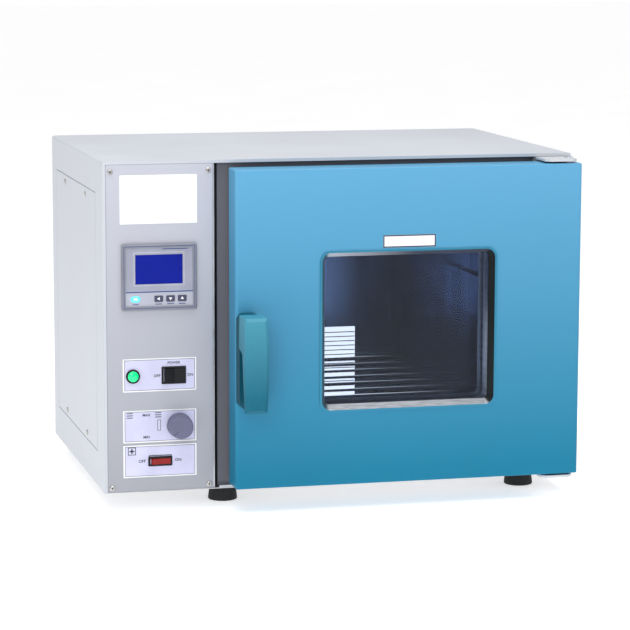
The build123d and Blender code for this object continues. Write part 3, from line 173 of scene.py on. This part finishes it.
# %% [markdown]
# Powder coat has a fine orange peel and a slow drift of tone. Baked enamel, on the door, is
# smoother. The real paint has one colour. The photograph shows it lighter towards the top, so
# the door and the panel are graded in height, which stands for that light: painted light, lighter
# towards the top. The air guide is white and glows though it is no lamp, a painted reflection, so
# that it reads as bright through two panes as the light patch in the photograph does.

# %% Paints
def height(tree, place, low_z, high_z, axis="Z"):
    split = tree.nodes.new("ShaderNodeSeparateXYZ")
    tree.links.new(place, split.inputs["Vector"])
    span = tree.nodes.new("ShaderNodeMapRange")
    span.inputs["From Min"].default_value = low_z
    span.inputs["From Max"].default_value = high_z
    tree.links.new(split.outputs[axis], span.inputs["Value"])
    return span.outputs["Result"]


def blended(tree, factor, first, second):
    mix = tree.nodes.new("ShaderNodeMix")
    mix.data_type = "RGBA"
    tree.links.new(factor, mix.inputs["Factor"])
    for value, socket in ((first, mix.inputs[6]), (second, mix.inputs[7])):
        if isinstance(value, tuple):
            socket.default_value = (*value, 1)
        else:
            tree.links.new(value, socket)
    return mix.outputs[2]


def powder_coat(name, colour, rough=0.42, coat=0.0, upper=None, gloss=0.5):
    material, tree, shader, place = blank(name)
    drift = noise(tree, place, 5.0)
    peel = noise(tree, place, 900.0, 2.0)
    shade = between(tree, drift, tint(colour, 0.965), tint(colour, 1.03))
    if upper:
        shade = blended(tree, height(tree, place, 0.05, 0.45), shade, upper)
    tree.links.new(shade, shader.inputs["Base Color"])
    tree.links.new(ranged(tree, drift, rough - 0.04, rough + 0.05), shader.inputs["Roughness"])
    shader.inputs["Specular IOR Level"].default_value = gloss
    shader.inputs["Coat Weight"].default_value = coat
    shader.inputs["Coat Roughness"].default_value = 0.12
    relief(tree, shader, peel, 0.12, 0.0002)
    return material


cover_white = powder_coat("cover_white", (0.565, 0.59, 0.64), 0.45)
panel_grey = powder_coat("panel_grey", (0.37, 0.38, 0.42), 0.40, 0.0, (0.52, 0.53, 0.60))
frame_grey = powder_coat("frame_grey", (0.16, 0.16, 0.19), 0.40)
hinge_white = powder_coat("hinge_white", (0.60, 0.62, 0.66), 0.40)
door_blue = powder_coat("door_blue", (0.001, 0.190, 0.325), 0.36, 0.06,
                         (0.11, 0.37, 0.60), 0.22)
# The air guide's glow is a painted reflection, it is no lamp, and its white stands for the same
# bright patch.
guide_painted_reflection = powder_coat("guide_painted_reflection", (0.85, 0.87, 0.90), 0.3)
guide_shader = guide_painted_reflection.node_tree.nodes["Principled BSDF"]
guide_shader.inputs["Emission Color"].default_value = (1.0, 0.94, 0.86, 1)
guide_shader.inputs["Emission Strength"].default_value = 1.9
motor_enamel = powder_coat("motor_enamel", (0.05, 0.055, 0.06), 0.45)


# %% [markdown]
# Rolled steel carries fine lines in one direction. Noise stretched hard along that direction
# gives both the streaks of tone and the scratches that smear its reflections.

# %% Metals
def brushed(name, colour, rough, along, scale=40.0, depth=0.00005, contrast=(0.82, 1.1)):
    material, tree, shader, place = blank(name)
    lines = noise(tree, place, scale, 4.0, along)
    cloud = noise(tree, place, 9.0)
    shade = between(tree, lines, tint(colour, contrast[0]), tint(colour, contrast[1]))
    tree.links.new(shade, shader.inputs["Base Color"])
    tree.links.new(ranged(tree, cloud, rough * 0.75, rough * 1.3), shader.inputs["Roughness"])
    shader.inputs["Metallic"].default_value = 1.0
    if depth:
        relief(tree, shader, lines, 0.25, depth)
    return material


# The liner's bluish tint and its wide light and dark streaks are a painted reflection.
liner_steel_painted_reflection = brushed("liner_steel_painted_reflection", (0.30, 0.36, 0.48), 0.20, (4, 4, 0.9), 4.0, 0.0, (0.35, 1.5))
plain_steel = brushed("plain_steel", (0.50, 0.51, 0.53), 0.30, (1, 1, 14), 22.0)
zinc_steel = brushed("zinc_steel", (0.55, 0.56, 0.58), 0.38, (1, 14, 1))
polished_wire = brushed("polished_wire", (0.80, 0.81, 0.83), 0.14, (1, 8, 8), 30.0, 0.00002)
screw_nickel = brushed("screw_nickel", (0.55, 0.54, 0.52), 0.34, (9, 9, 9), 90.0)


# %% [markdown]
# In the photograph the trim's flat rim reads as the door's blue, its bevels as steel, and the
# bevel on the hinge side as nearly black. The shader tells the faces apart by the way they point
# and paints light on the bevels: painted shade, nearly black, on the hinge-side bevel, a darker
# painted shade on the latch-side bevel, and on the upper bevel a painted reflection that fades
# from bright to dark along the window.

# %% The window's trim
def trim_with_painted_light():
    material, tree, shader, place = blank("window_trim_painted_light")
    way = tree.nodes.new("ShaderNodeTexCoord").outputs["Normal"]
    lines = noise(tree, place, 60.0, 4.0, (1, 6, 6))
    steel = between(tree, lines, (0.50, 0.53, 0.57), (0.86, 0.88, 0.90))
    # Painted reflection on the down-facing upper bevel: bright at the latch side, dark towards
    # the hinge.
    painted_reflection_top = blended(tree, height(tree, place, -0.03, 0.09, "X"), (0.95, 0.97, 1.0),
                      (0.10, 0.11, 0.15))
    steel = blended(tree, height(tree, way, -0.2, -0.5, "Z"), steel, painted_reflection_top)
    # Painted shade on the side bevels: nearly black on the hinge side, a darker blue steel on the
    # latch side.
    painted_shade_hinge_side = height(tree, way, -0.2, -0.5, "X")
    painted_shade_latch_side = height(tree, way, 0.2, 0.5, "X")
    front = height(tree, way, -0.80, -0.95, "Y")
    shade = blended(tree, painted_shade_hinge_side, steel, (0.025, 0.03, 0.03))
    shade = blended(tree, painted_shade_latch_side, shade, (0.10, 0.20, 0.26))
    shade = blended(tree, front, shade, (0.03, 0.23, 0.37))
    tree.links.new(shade, shader.inputs["Base Color"])
    shader.inputs["Metallic"].default_value = 0.55
    shader.inputs["Roughness"].default_value = 0.28
    return material


trim_steel_painted_light = trim_with_painted_light()


# %% [markdown]
# The shelf's wire is given a dark steel colour, painted shade. It catches the room's light near
# the latch side and loses it towards the hinge, so a painted highlight, a weak glow along the
# wires' upper faces, fades the same way.

# %% The shelf's wire
def shelf_wire_with_painted_light():
    # Dark base colour: painted shade of the wire's steel.
    material = brushed("shelf_wire", (0.20, 0.22, 0.26), 0.18, (1, 8, 8), 30.0, 0.00002)
    tree = material.node_tree
    shader = tree.nodes["Principled BSDF"]
    place = tree.nodes["Texture Coordinate"].outputs["Object"]
    way = tree.nodes["Texture Coordinate"].outputs["Normal"]
    # Painted highlight: glow on the upward faces, fading from the latch side towards the hinge.
    painted_highlight = tree.nodes.new("ShaderNodeMath")
    painted_highlight.operation = "MULTIPLY"
    tree.links.new(height(tree, place, 0.17, -0.04, "X"), painted_highlight.inputs[0])
    tree.links.new(height(tree, way, 0.72, 0.95, "Z"), painted_highlight.inputs[1])
    bright = tree.nodes.new("ShaderNodeMath")
    bright.operation = "MULTIPLY"
    bright.inputs[1].default_value = 2.6
    tree.links.new(painted_highlight.outputs["Value"], bright.inputs[0])
    tree.links.new(bright.outputs["Value"], shader.inputs["Emission Strength"])
    shader.inputs["Emission Color"].default_value = (1.0, 0.97, 0.9, 1)
    return material


shelf_wire = shelf_wire_with_painted_light()


# %% [markdown]
# Moulded parts carry a fine leather grain from the tool they were cast in. Print films are
# smoother, rubber and wool rougher. The grip is graded in height, lighter towards the top, which
# is painted light as on the door.

# %% Plastics, print films, rubber and felt
def moulded(name, colour, rough, grain=700.0, depth=0.0001, coat=0.0, gloss=0.5):
    material, tree, shader, place = blank(name)
    drift = noise(tree, place, 30.0)
    leather = noise(tree, place, grain, 2.0)
    shade = between(tree, drift, tint(colour, 0.92), tint(colour, 1.06))
    tree.links.new(shade, shader.inputs["Base Color"])
    tree.links.new(ranged(tree, drift, rough - 0.04, rough + 0.06), shader.inputs["Roughness"])
    shader.inputs["Coat Weight"].default_value = coat
    shader.inputs["Specular IOR Level"].default_value = gloss
    relief(tree, shader, leather, 0.15, depth)
    return material


bezel_grey = moulded("bezel_grey", (0.23, 0.24, 0.28), 0.42)
face_lilac = moulded("face_lilac", (0.33, 0.345, 0.43), 0.34, 400.0, 0.00003, 0.0)
plate_white = moulded("plate_white", (0.90, 0.90, 0.92), 0.35, 400.0, 0.00003)
face_light = moulded("face_light", (0.44, 0.45, 0.53), 0.35, 400.0, 0.00003)
plate_lavender = moulded("plate_lavender", (0.62, 0.62, 0.82), 0.35, 400.0, 0.00003)
ink_black = moulded("ink_black", (0.02, 0.02, 0.035), 0.5)
ink_blue = moulded("ink_blue", (0.02, 0.05, 0.22), 0.5)
ink_white = moulded("ink_white", (0.85, 0.85, 0.88), 0.5)
switch_black = moulded("switch_black", (0.010, 0.010, 0.012), 0.33, 700.0, 0.0001, 0.0, 0.2)
key_black = moulded("key_black", (0.05, 0.05, 0.10), 0.4)
knob_grey = moulded("knob_grey", (0.125, 0.13, 0.215), 0.42)
handle_dark = moulded("handle_dark", (0.002, 0.075, 0.115), 0.36, 900.0, 0.00008, 0.05, 0.25)


def grip_with_painted_light():
    material = moulded("handle_teal", (0.001, 0.125, 0.195), 0.38, 900.0, 0.00008, 0.05, 0.2)
    tree = material.node_tree
    shader = tree.nodes["Principled BSDF"]
    place = tree.nodes["Texture Coordinate"].outputs["Object"]
    lower = shader.inputs["Base Color"].links[0].from_socket
    # Painted light: the grip turns lighter towards its top.
    shade = blended(tree, height(tree, place, 0.16, 0.27), lower, (0.06, 0.29, 0.40))
    tree.links.new(shade, shader.inputs["Base Color"])
    return material


handle_blue = grip_with_painted_light()
foot_rubber = moulded("foot_rubber", (0.012, 0.012, 0.013), 0.7, 500.0)
seal_silicone = moulded("seal_silicone", (0.42, 0.42, 0.43), 0.6, 300.0)
housing_black = moulded("housing_black", (0.02, 0.02, 0.022), 0.5)
wool = moulded("wool", (0.55, 0.50, 0.32), 0.95, 120.0, 0.002)


# %% [markdown]
# Three pieces give light of their own: the lamp, the display's backlight and the glowing key.
# Their glow is weak, just enough to lift the colour, as in a lit room.

# %% Lit plastics
def lit(name, colour, glow, rough=0.18):
    material = moulded(name, colour, rough, 200.0, 0.00002, 0.4)
    shader = material.node_tree.nodes["Principled BSDF"]
    shader.inputs["Emission Color"].default_value = (*colour, 1)
    shader.inputs["Emission Strength"].default_value = glow
    return material


lamp_green = lit("lamp_green", (0.0, 0.72, 0.22), 0.55)
display_blue = lit("display_blue", (0.003, 0.010, 0.22), 0.35, 0.3)
display_blue.node_tree.nodes["Principled BSDF"].inputs["Coat Weight"].default_value = 0.0
display_blue.node_tree.nodes["Principled BSDF"].inputs["Specular IOR Level"].default_value = 0.1
key_cyan = lit("key_cyan", (0.10, 0.62, 0.85), 0.55)
rocker_red = lit("rocker_red", (0.26, 0.004, 0.004), 0.12, 0.35)
rocker_red.node_tree.nodes["Principled BSDF"].inputs["Specular IOR Level"].default_value = 0.15


# %% [markdown]
# The window is two flat panes. A mix of see-through and mirror, weighted by the angle of view,
# lets the studio light reach the chamber, which true refraction would block.

# %% Window glass
def window_glass():
    material, tree, shader, place = blank("window_glass")
    tree.nodes.remove(shader)
    clear = tree.nodes.new("ShaderNodeBsdfTransparent")
    clear.inputs["Color"].default_value = (0.80, 0.84, 0.90, 1)
    mirror = tree.nodes.new("ShaderNodeBsdfGlossy")
    mirror.inputs["Color"].default_value = (0.9, 0.93, 1.0, 1)
    smear = noise(tree, place, 12.0, 4.0, (1, 1, 3))
    tree.links.new(ranged(tree, smear, 0.02, 0.10), mirror.inputs["Roughness"])
    facing = tree.nodes.new("ShaderNodeLayerWeight")
    facing.inputs["Blend"].default_value = 0.18
    both = tree.nodes.new("ShaderNodeMixShader")
    out = tree.nodes["Material Output"]
    tree.links.new(facing.outputs["Fresnel"], both.inputs["Fac"])
    tree.links.new(clear.outputs["BSDF"], both.inputs[1])
    tree.links.new(mirror.outputs["BSDF"], both.inputs[2])
    tree.links.new(both.outputs["Shader"], out.inputs["Surface"])
    return material


pane = window_glass()


# %% Give each CAD node its finish
finish_of = {
    cover_white: ["outer_cover", "side_access_cover", "back_panel"],
    panel_grey: ["control_panel"],
    frame_grey: ["chamber_frame"],
    hinge_white: ["hinge_brackets"],
    door_blue: ["door_skin"],
    motor_enamel: ["fan_motor"],
    liner_steel_painted_reflection: ["chamber_liner", "air_baffle", "shelf_rails"],
    plain_steel: ["door_inner_panel", "window_spacer", "vent_tube", "vent_damper",
                  "exhaust_spigot", "heater_element", "temperature_probe"],
    guide_painted_reflection: ["air_guide"],
    zinc_steel: ["base_pan", "foot_screws", "panel_mounting_angle", "control_partition",
                 "fan_impeller", "fan_motor_bracket", "handle_screws", "hinge_bushes",
                 "catch_strike"],
    trim_steel_painted_light: ["window_trim"],
    shelf_wire: ["wire_shelf"],
    polished_wire: ["fan_shaft", "vent_shaft", "vent_bush", "hinge_pins"],
    screw_nickel: ["cabinet_screws"],
    pane: ["window_panes"],
    bezel_grey: ["controller_bezel"],
    face_lilac: ["controller_face"],
    plate_white: ["panel_plates", "window_label"],
    display_blue: ["display_window"],
    housing_black: ["controller_housing", "power_inlet", "magnetic_catch"],
    key_cyan: ["set_key"],
    key_black: ["left_key", "down_key", "up_key"],
    switch_black: ["switch_bodies", "power_rocker", "pilot_lamp_body"],
    rocker_red: ["fan_rocker"],
    lamp_green: ["pilot_lamp_lens"],
    knob_grey: ["vent_knob"],
    handle_dark: ["handle_base"],
    handle_blue: ["handle_grip"],
    foot_rubber: ["feet"],
    seal_silicone: ["door_gasket"],
    wool: ["insulation_jacket", "door_insulation"],
}
for material, names in finish_of.items():
    for name in names:
        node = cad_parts[name]
        node.data.materials.clear()
        node.data.materials.append(material)
bare = set(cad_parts) - {name for names in finish_of.values() for name in names}
print("nodes without a finish:", sorted(bare))


# %% [markdown]
# Curved CAD faces arrive as flat facets. Shading them smooth below a set angle keeps the folds
# crisp and makes the knob, the lamp and the trim look turned or rolled.

# %% Smooth the curved faces
def only(*objects):
    bpy.ops.object.select_all(action="DESELECT")
    for item in objects:
        item.select_set(True)
    bpy.context.view_layer.objects.active = objects[0]


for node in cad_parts.values():
    only(node)
    bpy.ops.object.shade_smooth_by_angle(angle=math.radians(28))
bpy.ops.object.select_all(action="DESELECT")


# %% [markdown]
# ## Print on the panel
# The plates are white film with a thin black line round a lavender field. Each of those is cut
# as a very thin solid on the plate's face, so it stays sharp however near one looks.

# %% Thin inlays on a face that looks to the front
ink = 0.06


def settle(piece, material, body):
    only(piece)
    bpy.ops.object.transform_apply(location=True, rotation=True, scale=True)
    piece.data.materials.clear()
    piece.data.materials.append(material)
    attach(piece, body)
    return piece


def press(piece, radius, thick=ink):
    only(piece)
    bpy.ops.object.transform_apply(location=True, rotation=True, scale=True)
    bpy.ops.object.mode_set(mode="EDIT")
    bpy.ops.mesh.select_all(action="SELECT")
    if radius:
        bpy.ops.mesh.bevel(offset=mm(radius), segments=3, affect="VERTICES")
    bpy.ops.mesh.select_all(action="SELECT")
    bpy.ops.mesh.extrude_region_move(TRANSFORM_OT_translate={"value": (0, -mm(thick), 0)})
    bpy.ops.mesh.select_all(action="SELECT")
    bpy.ops.mesh.normals_make_consistent(inside=False)
    bpy.ops.object.mode_set(mode="OBJECT")


def inlay(name, x0, x1, z0, z1, face_y, material, body="cabinet", radius=0.4):
    bpy.ops.object.select_all(action="DESELECT")
    middle = spot((x0 + x1) / 2, face_y, (z0 + z1) / 2)
    bpy.ops.mesh.primitive_plane_add(size=1, location=middle, rotation=(math.pi / 2, 0, 0))
    piece = bpy.context.object
    piece.name = name
    piece.scale = (mm(x1 - x0), mm(z1 - z0), 1)
    press(piece, radius)
    return settle(piece, material, body)


def arrow(name, x, z, size, turn, face_y, material, body):
    bpy.ops.object.select_all(action="DESELECT")
    bpy.ops.mesh.primitive_circle_add(vertices=3, radius=mm(size), fill_type="NGON",
                                      location=spot(x, face_y, z),
                                      rotation=(math.pi / 2, math.radians(turn), 0))
    piece = bpy.context.object
    piece.name = name
    press(piece, size * 0.08)
    return settle(piece, material, body)


def word(name, text, x, z, high, face_y, material, body="cabinet"):
    bpy.ops.object.select_all(action="DESELECT")
    bpy.ops.object.text_add(location=spot(x, face_y - ink / 2, z), rotation=(math.pi / 2, 0, 0))
    piece = bpy.context.object
    piece.name = name
    piece.data.body = text
    piece.data.size = mm(high) / 0.7
    piece.data.extrude = mm(ink / 2)
    piece.data.resolution_u = 3
    piece.data.offset = mm(0.12)
    piece.data.align_x = "CENTER"
    piece.data.align_y = "CENTER"
    bpy.ops.object.convert(target="MESH")
    return settle(piece, material, body)


def outline(name, x0, x1, z0, z1, line, face_y, material, body="cabinet"):
    bpy.ops.object.select_all(action="DESELECT")
    middle = spot((x0 + x1) / 2, face_y, (z0 + z1) / 2)
    bpy.ops.mesh.primitive_plane_add(size=1, location=middle, rotation=(math.pi / 2, 0, 0))
    piece = bpy.context.object
    piece.name = name
    piece.scale = (mm(x1 - x0), mm(z1 - z0), 1)
    bpy.ops.object.transform_apply(location=True, rotation=True, scale=True)
    bpy.ops.object.mode_set(mode="EDIT")
    bpy.ops.mesh.select_all(action="SELECT")
    bpy.ops.mesh.inset(thickness=mm(line))
    bpy.ops.mesh.delete(type="FACE")
    bpy.ops.mesh.select_all(action="SELECT")
    bpy.ops.mesh.extrude_region_move(TRANSFORM_OT_translate={"value": (0, -mm(ink), 0)})
    bpy.ops.mesh.select_all(action="SELECT")
    bpy.ops.mesh.normals_make_consistent(inside=False)
    bpy.ops.object.mode_set(mode="OBJECT")
    return settle(piece, material, body)


plate_face = front_of("panel_plates")
fields = {
    "power_field": (27.0, 121.0, 136.2, 176.8),
    "vent_field": (27.0, 121.0, 68.2, 108.0),
    "fan_field": (27.0, 121.0, 21.6, 61.4),
}
for name, (x0, x1, z0, z1) in fields.items():
    inlay(name, x0, x1, z0, z1, plate_face, plate_lavender)
    outline(name + "_line", x0, x1, z0, z1, 0.55, plate_face - ink, ink_black)
print("plate face at y", round(plate_face, 2))


# %% [markdown]
# The words are plain lettering turned into thin solids. The three bars, the box with its cross
# and the narrow frame stand for the small signs beside the vent and the fan switch.

# %% Words and signs on the plates
over = plate_face - ink
words = {
    "power_word": ("POWER", 93.0, 171.8, 3.4),
    "power_off": ("OFF", 70.5, 155.0, 3.6),
    "power_on": ("ON", 115.0, 155.0, 3.6),
    "vent_max": ("MAX", 56.0, 103.0, 3.4),
    "vent_min": ("MIN", 56.0, 73.5, 3.4),
    "fan_off": ("OFF", 50.0, 41.5, 3.8),
    "fan_on": ("ON", 98.5, 41.5, 3.8),
}
for name, (text, x, z, high) in words.items():
    word(name, text, x, z, high, over, ink_black)
for column, (x0, x1) in enumerate(((29.5, 38.0), (67.5, 76.0))):
    for row in range(3):
        z = 99.6 + 2.9 * row
        inlay(f"vent_bar_{column}_{row}", x0, x1, z, z + 1.1, over, ink_black)
outline("fan_sign_box", 31.0, 41.6, 50.2, 60.6, 0.9, over, ink_black)
for name, (half_x, half_z) in {"fan_blade_a": (3.4, 0.9), "fan_blade_b": (0.9, 3.4)}.items():
    inlay(name, 36.3 - half_x, 36.3 + half_x, 55.4 - half_z, 55.4 + half_z, over, ink_black)
outline("vent_pointer", 70.6, 75.2, 82.0, 96.5, 0.6, over, ink_black)
outline("fan_switch_rim", 59.0, 89.6, 34.2, 49.2, 1.1, over, ink_black)
outline("power_switch_rim", 80.0, 105.8, 146.2, 164.8, 0.6, over, ink_black)

print("words on the plates:", len(words))


# %% [markdown]
# The controller's face has a lighter strip behind its keys, a rule above it and a rim round the
# display. Its captions are too small to read in the photograph, so they are plain short bars.

# %% Print on the controller's face
face = front_of("controller_face")
inlay("key_field", 28.6, 118.9, 247.6, 266.0, face, face_light)
inlay("face_rule", 28.6, 118.9, 266.2, 267.5, face, ink_blue)
outline("display_rim", 39.5, 107.3, 274.8, 319.5, 1.4, face, face_light)
for number, x in enumerate((72.8, 88.4, 104.0)):
    inlay(f"key_caption_{number}", x - 4.5, x + 4.5, 250.2, 251.2, face - ink, ink_blue)
inlay("face_caption", 78.0, 112.0, 322.6, 323.6, face, ink_blue)
inlay("set_caption", 38.0, 46.0, 250.2, 251.2, face - ink, ink_blue)
set_front = front_of("set_key")
inlay("set_key_mark", 39.4, 44.6, 256.4, 259.2, set_front, ink_white, "set_button")
signs = {"left_key": (72.8, -90), "down_key": (88.4, 180), "up_key": (104.0, 0)}
for name, (x, turn) in signs.items():
    front = front_of(name)
    arrow(name + "_sign", x, 257.8, 2.6, turn, front, ink_white, name.replace("key", "button"))
label_front = front_of("window_label")
label_low, label_high = (1000 * (v - corner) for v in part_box("window_label"))
outline("window_label_line", label_low.x + 0.1, label_high.x - 0.1, label_low.z + 0.1,
        label_high.z - 0.1, 1.5, label_front, ink_black, "door")
rim = front_of("controller_bezel")
outline("bezel_line", 26.4, 121.0, 245.4, 327.4, 0.7, rim, ink_blue)
print("signs on", len(signs), "keys")


# %% [markdown]
# Dark lines cross the light patch in the photograph. Here they are slots printed on the air
# guide, which is a guess. Each screw of the panel gets a black cross on its head, painted shade
# that stands for a Phillips recess.

# %% Slots of the air guide, and painted shade for the cross recesses of the panel's screws
guide_low, guide_high = (1000 * (v - corner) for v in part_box("air_guide"))
slot_count = 14
slot_start = 7
slot_pitch = 6.6
slot_high = 1.3
for row in range(slot_count):
    z = guide_low.z + slot_start + row * slot_pitch
    inlay(f"guide_slot_{row}", guide_low.x + 1, guide_high.x - 1, z, z + slot_high, guide_low.y,
          housing_black, "cabinet", 0.5)
cross_long = 2.1
cross_thin = 0.45
heads = [(x, z) for x in (10, 140) for z in (7, 424.5)]
head_front = front_of("cabinet_screws")
# Black crosses on the screw heads: painted shade of Phillips recesses.
for number, (x, z) in enumerate(heads):
    for part, (half_x, half_z) in enumerate(((cross_long, cross_thin), (cross_thin, cross_long))):
        inlay(f"screw_cross_{number}_{part}", x - half_x, x + half_x, z - half_z, z + half_z,
              head_front, ink_black, "cabinet", 0.2)
print("crosses on", len(heads), "screws")


# %% [markdown]
# ## Floor
# The oven stands on white paper that runs far behind it. The paper glows a little, so that only
# the soft shadow at the feet is darker than white.

# %% Floor
bpy.ops.object.select_all(action="DESELECT")
bpy.ops.mesh.primitive_plane_add(size=40, location=(0, 0, 0))
floor = bpy.context.object
floor.name = "studio_floor"
sheet, tree, shader, place = blank("studio_paper")
shade = between(tree, noise(tree, place, 3.0), (0.86, 0.86, 0.87), (0.9, 0.9, 0.91))
tree.links.new(shade, shader.inputs["Base Color"])
shader.inputs["Roughness"].default_value = 0.9
shader.inputs["Emission Color"].default_value = (1, 1, 1, 1)
shader.inputs["Emission Strength"].default_value = 0.50
floor.data.materials.append(sheet)
floor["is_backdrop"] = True


# %% [markdown]
# ## Light
# Most light comes from a white surrounding. A large soft light hangs over the oven, a second one
# stands in front on the left, and a weak one lifts the left side. The surrounding looks brighter
# to the camera than it lights the oven, which keeps the background white.

# %% Lights
def softbox(name, place, aim, wide, high, power, colour):
    lamp = bpy.data.lights.new(name, "AREA")
    lamp.shape = "RECTANGLE"
    lamp.size = wide
    lamp.size_y = high
    lamp.energy = power
    lamp.color = colour
    holder = bpy.data.objects.new(name, lamp)
    holder.location = place
    holder.rotation_euler = (Vector(aim) - Vector(place)).to_track_quat("-Z", "Y").to_euler()
    bpy.context.scene.collection.objects.link(holder)
    return holder


softbox("top_light", (-0.2, -0.5, 2.6), (0, 0, 0.3), 2.4, 2.0, 44, (1.0, 1.0, 1.0))
softbox("front_light", (-1.4, -3.2, 1.9), (0, 0, 0.25), 1.6, 1.6, 30, (0.97, 0.98, 1.0))
softbox("left_light", (-2.4, 0.2, 1.2), (-0.3, 0, 0.25), 1.4, 1.6, 0.4, (0.97, 0.98, 1.0))
room_light = 0.54
room_seen = 1.05
world = bpy.context.scene.world or bpy.data.worlds.new("studio")
bpy.context.scene.world = world
world.use_nodes = True
background = world.node_tree.nodes["Background"]
background.inputs["Color"].default_value = (1.0, 1.0, 1.0, 1)
rays = world.node_tree.nodes.new("ShaderNodeLightPath")
seen = world.node_tree.nodes.new("ShaderNodeMapRange")
seen.inputs["To Min"].default_value = room_light
seen.inputs["To Max"].default_value = room_seen
world.node_tree.links.new(rays.outputs["Is Camera Ray"], seen.inputs["Value"])
world.node_tree.links.new(seen.outputs["Result"], background.inputs["Strength"])
bpy.context.scene.view_settings.view_transform = "Standard"
bpy.context.scene.view_settings.look = "None"


# %% [markdown]
# ## Sizes
# The box round the dressed oven is printed. The dressed oven has to stay inside the box
# of the bare one.

# %% Sizes
low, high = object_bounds()
print("box", [round(v, 4) for v in high - low])
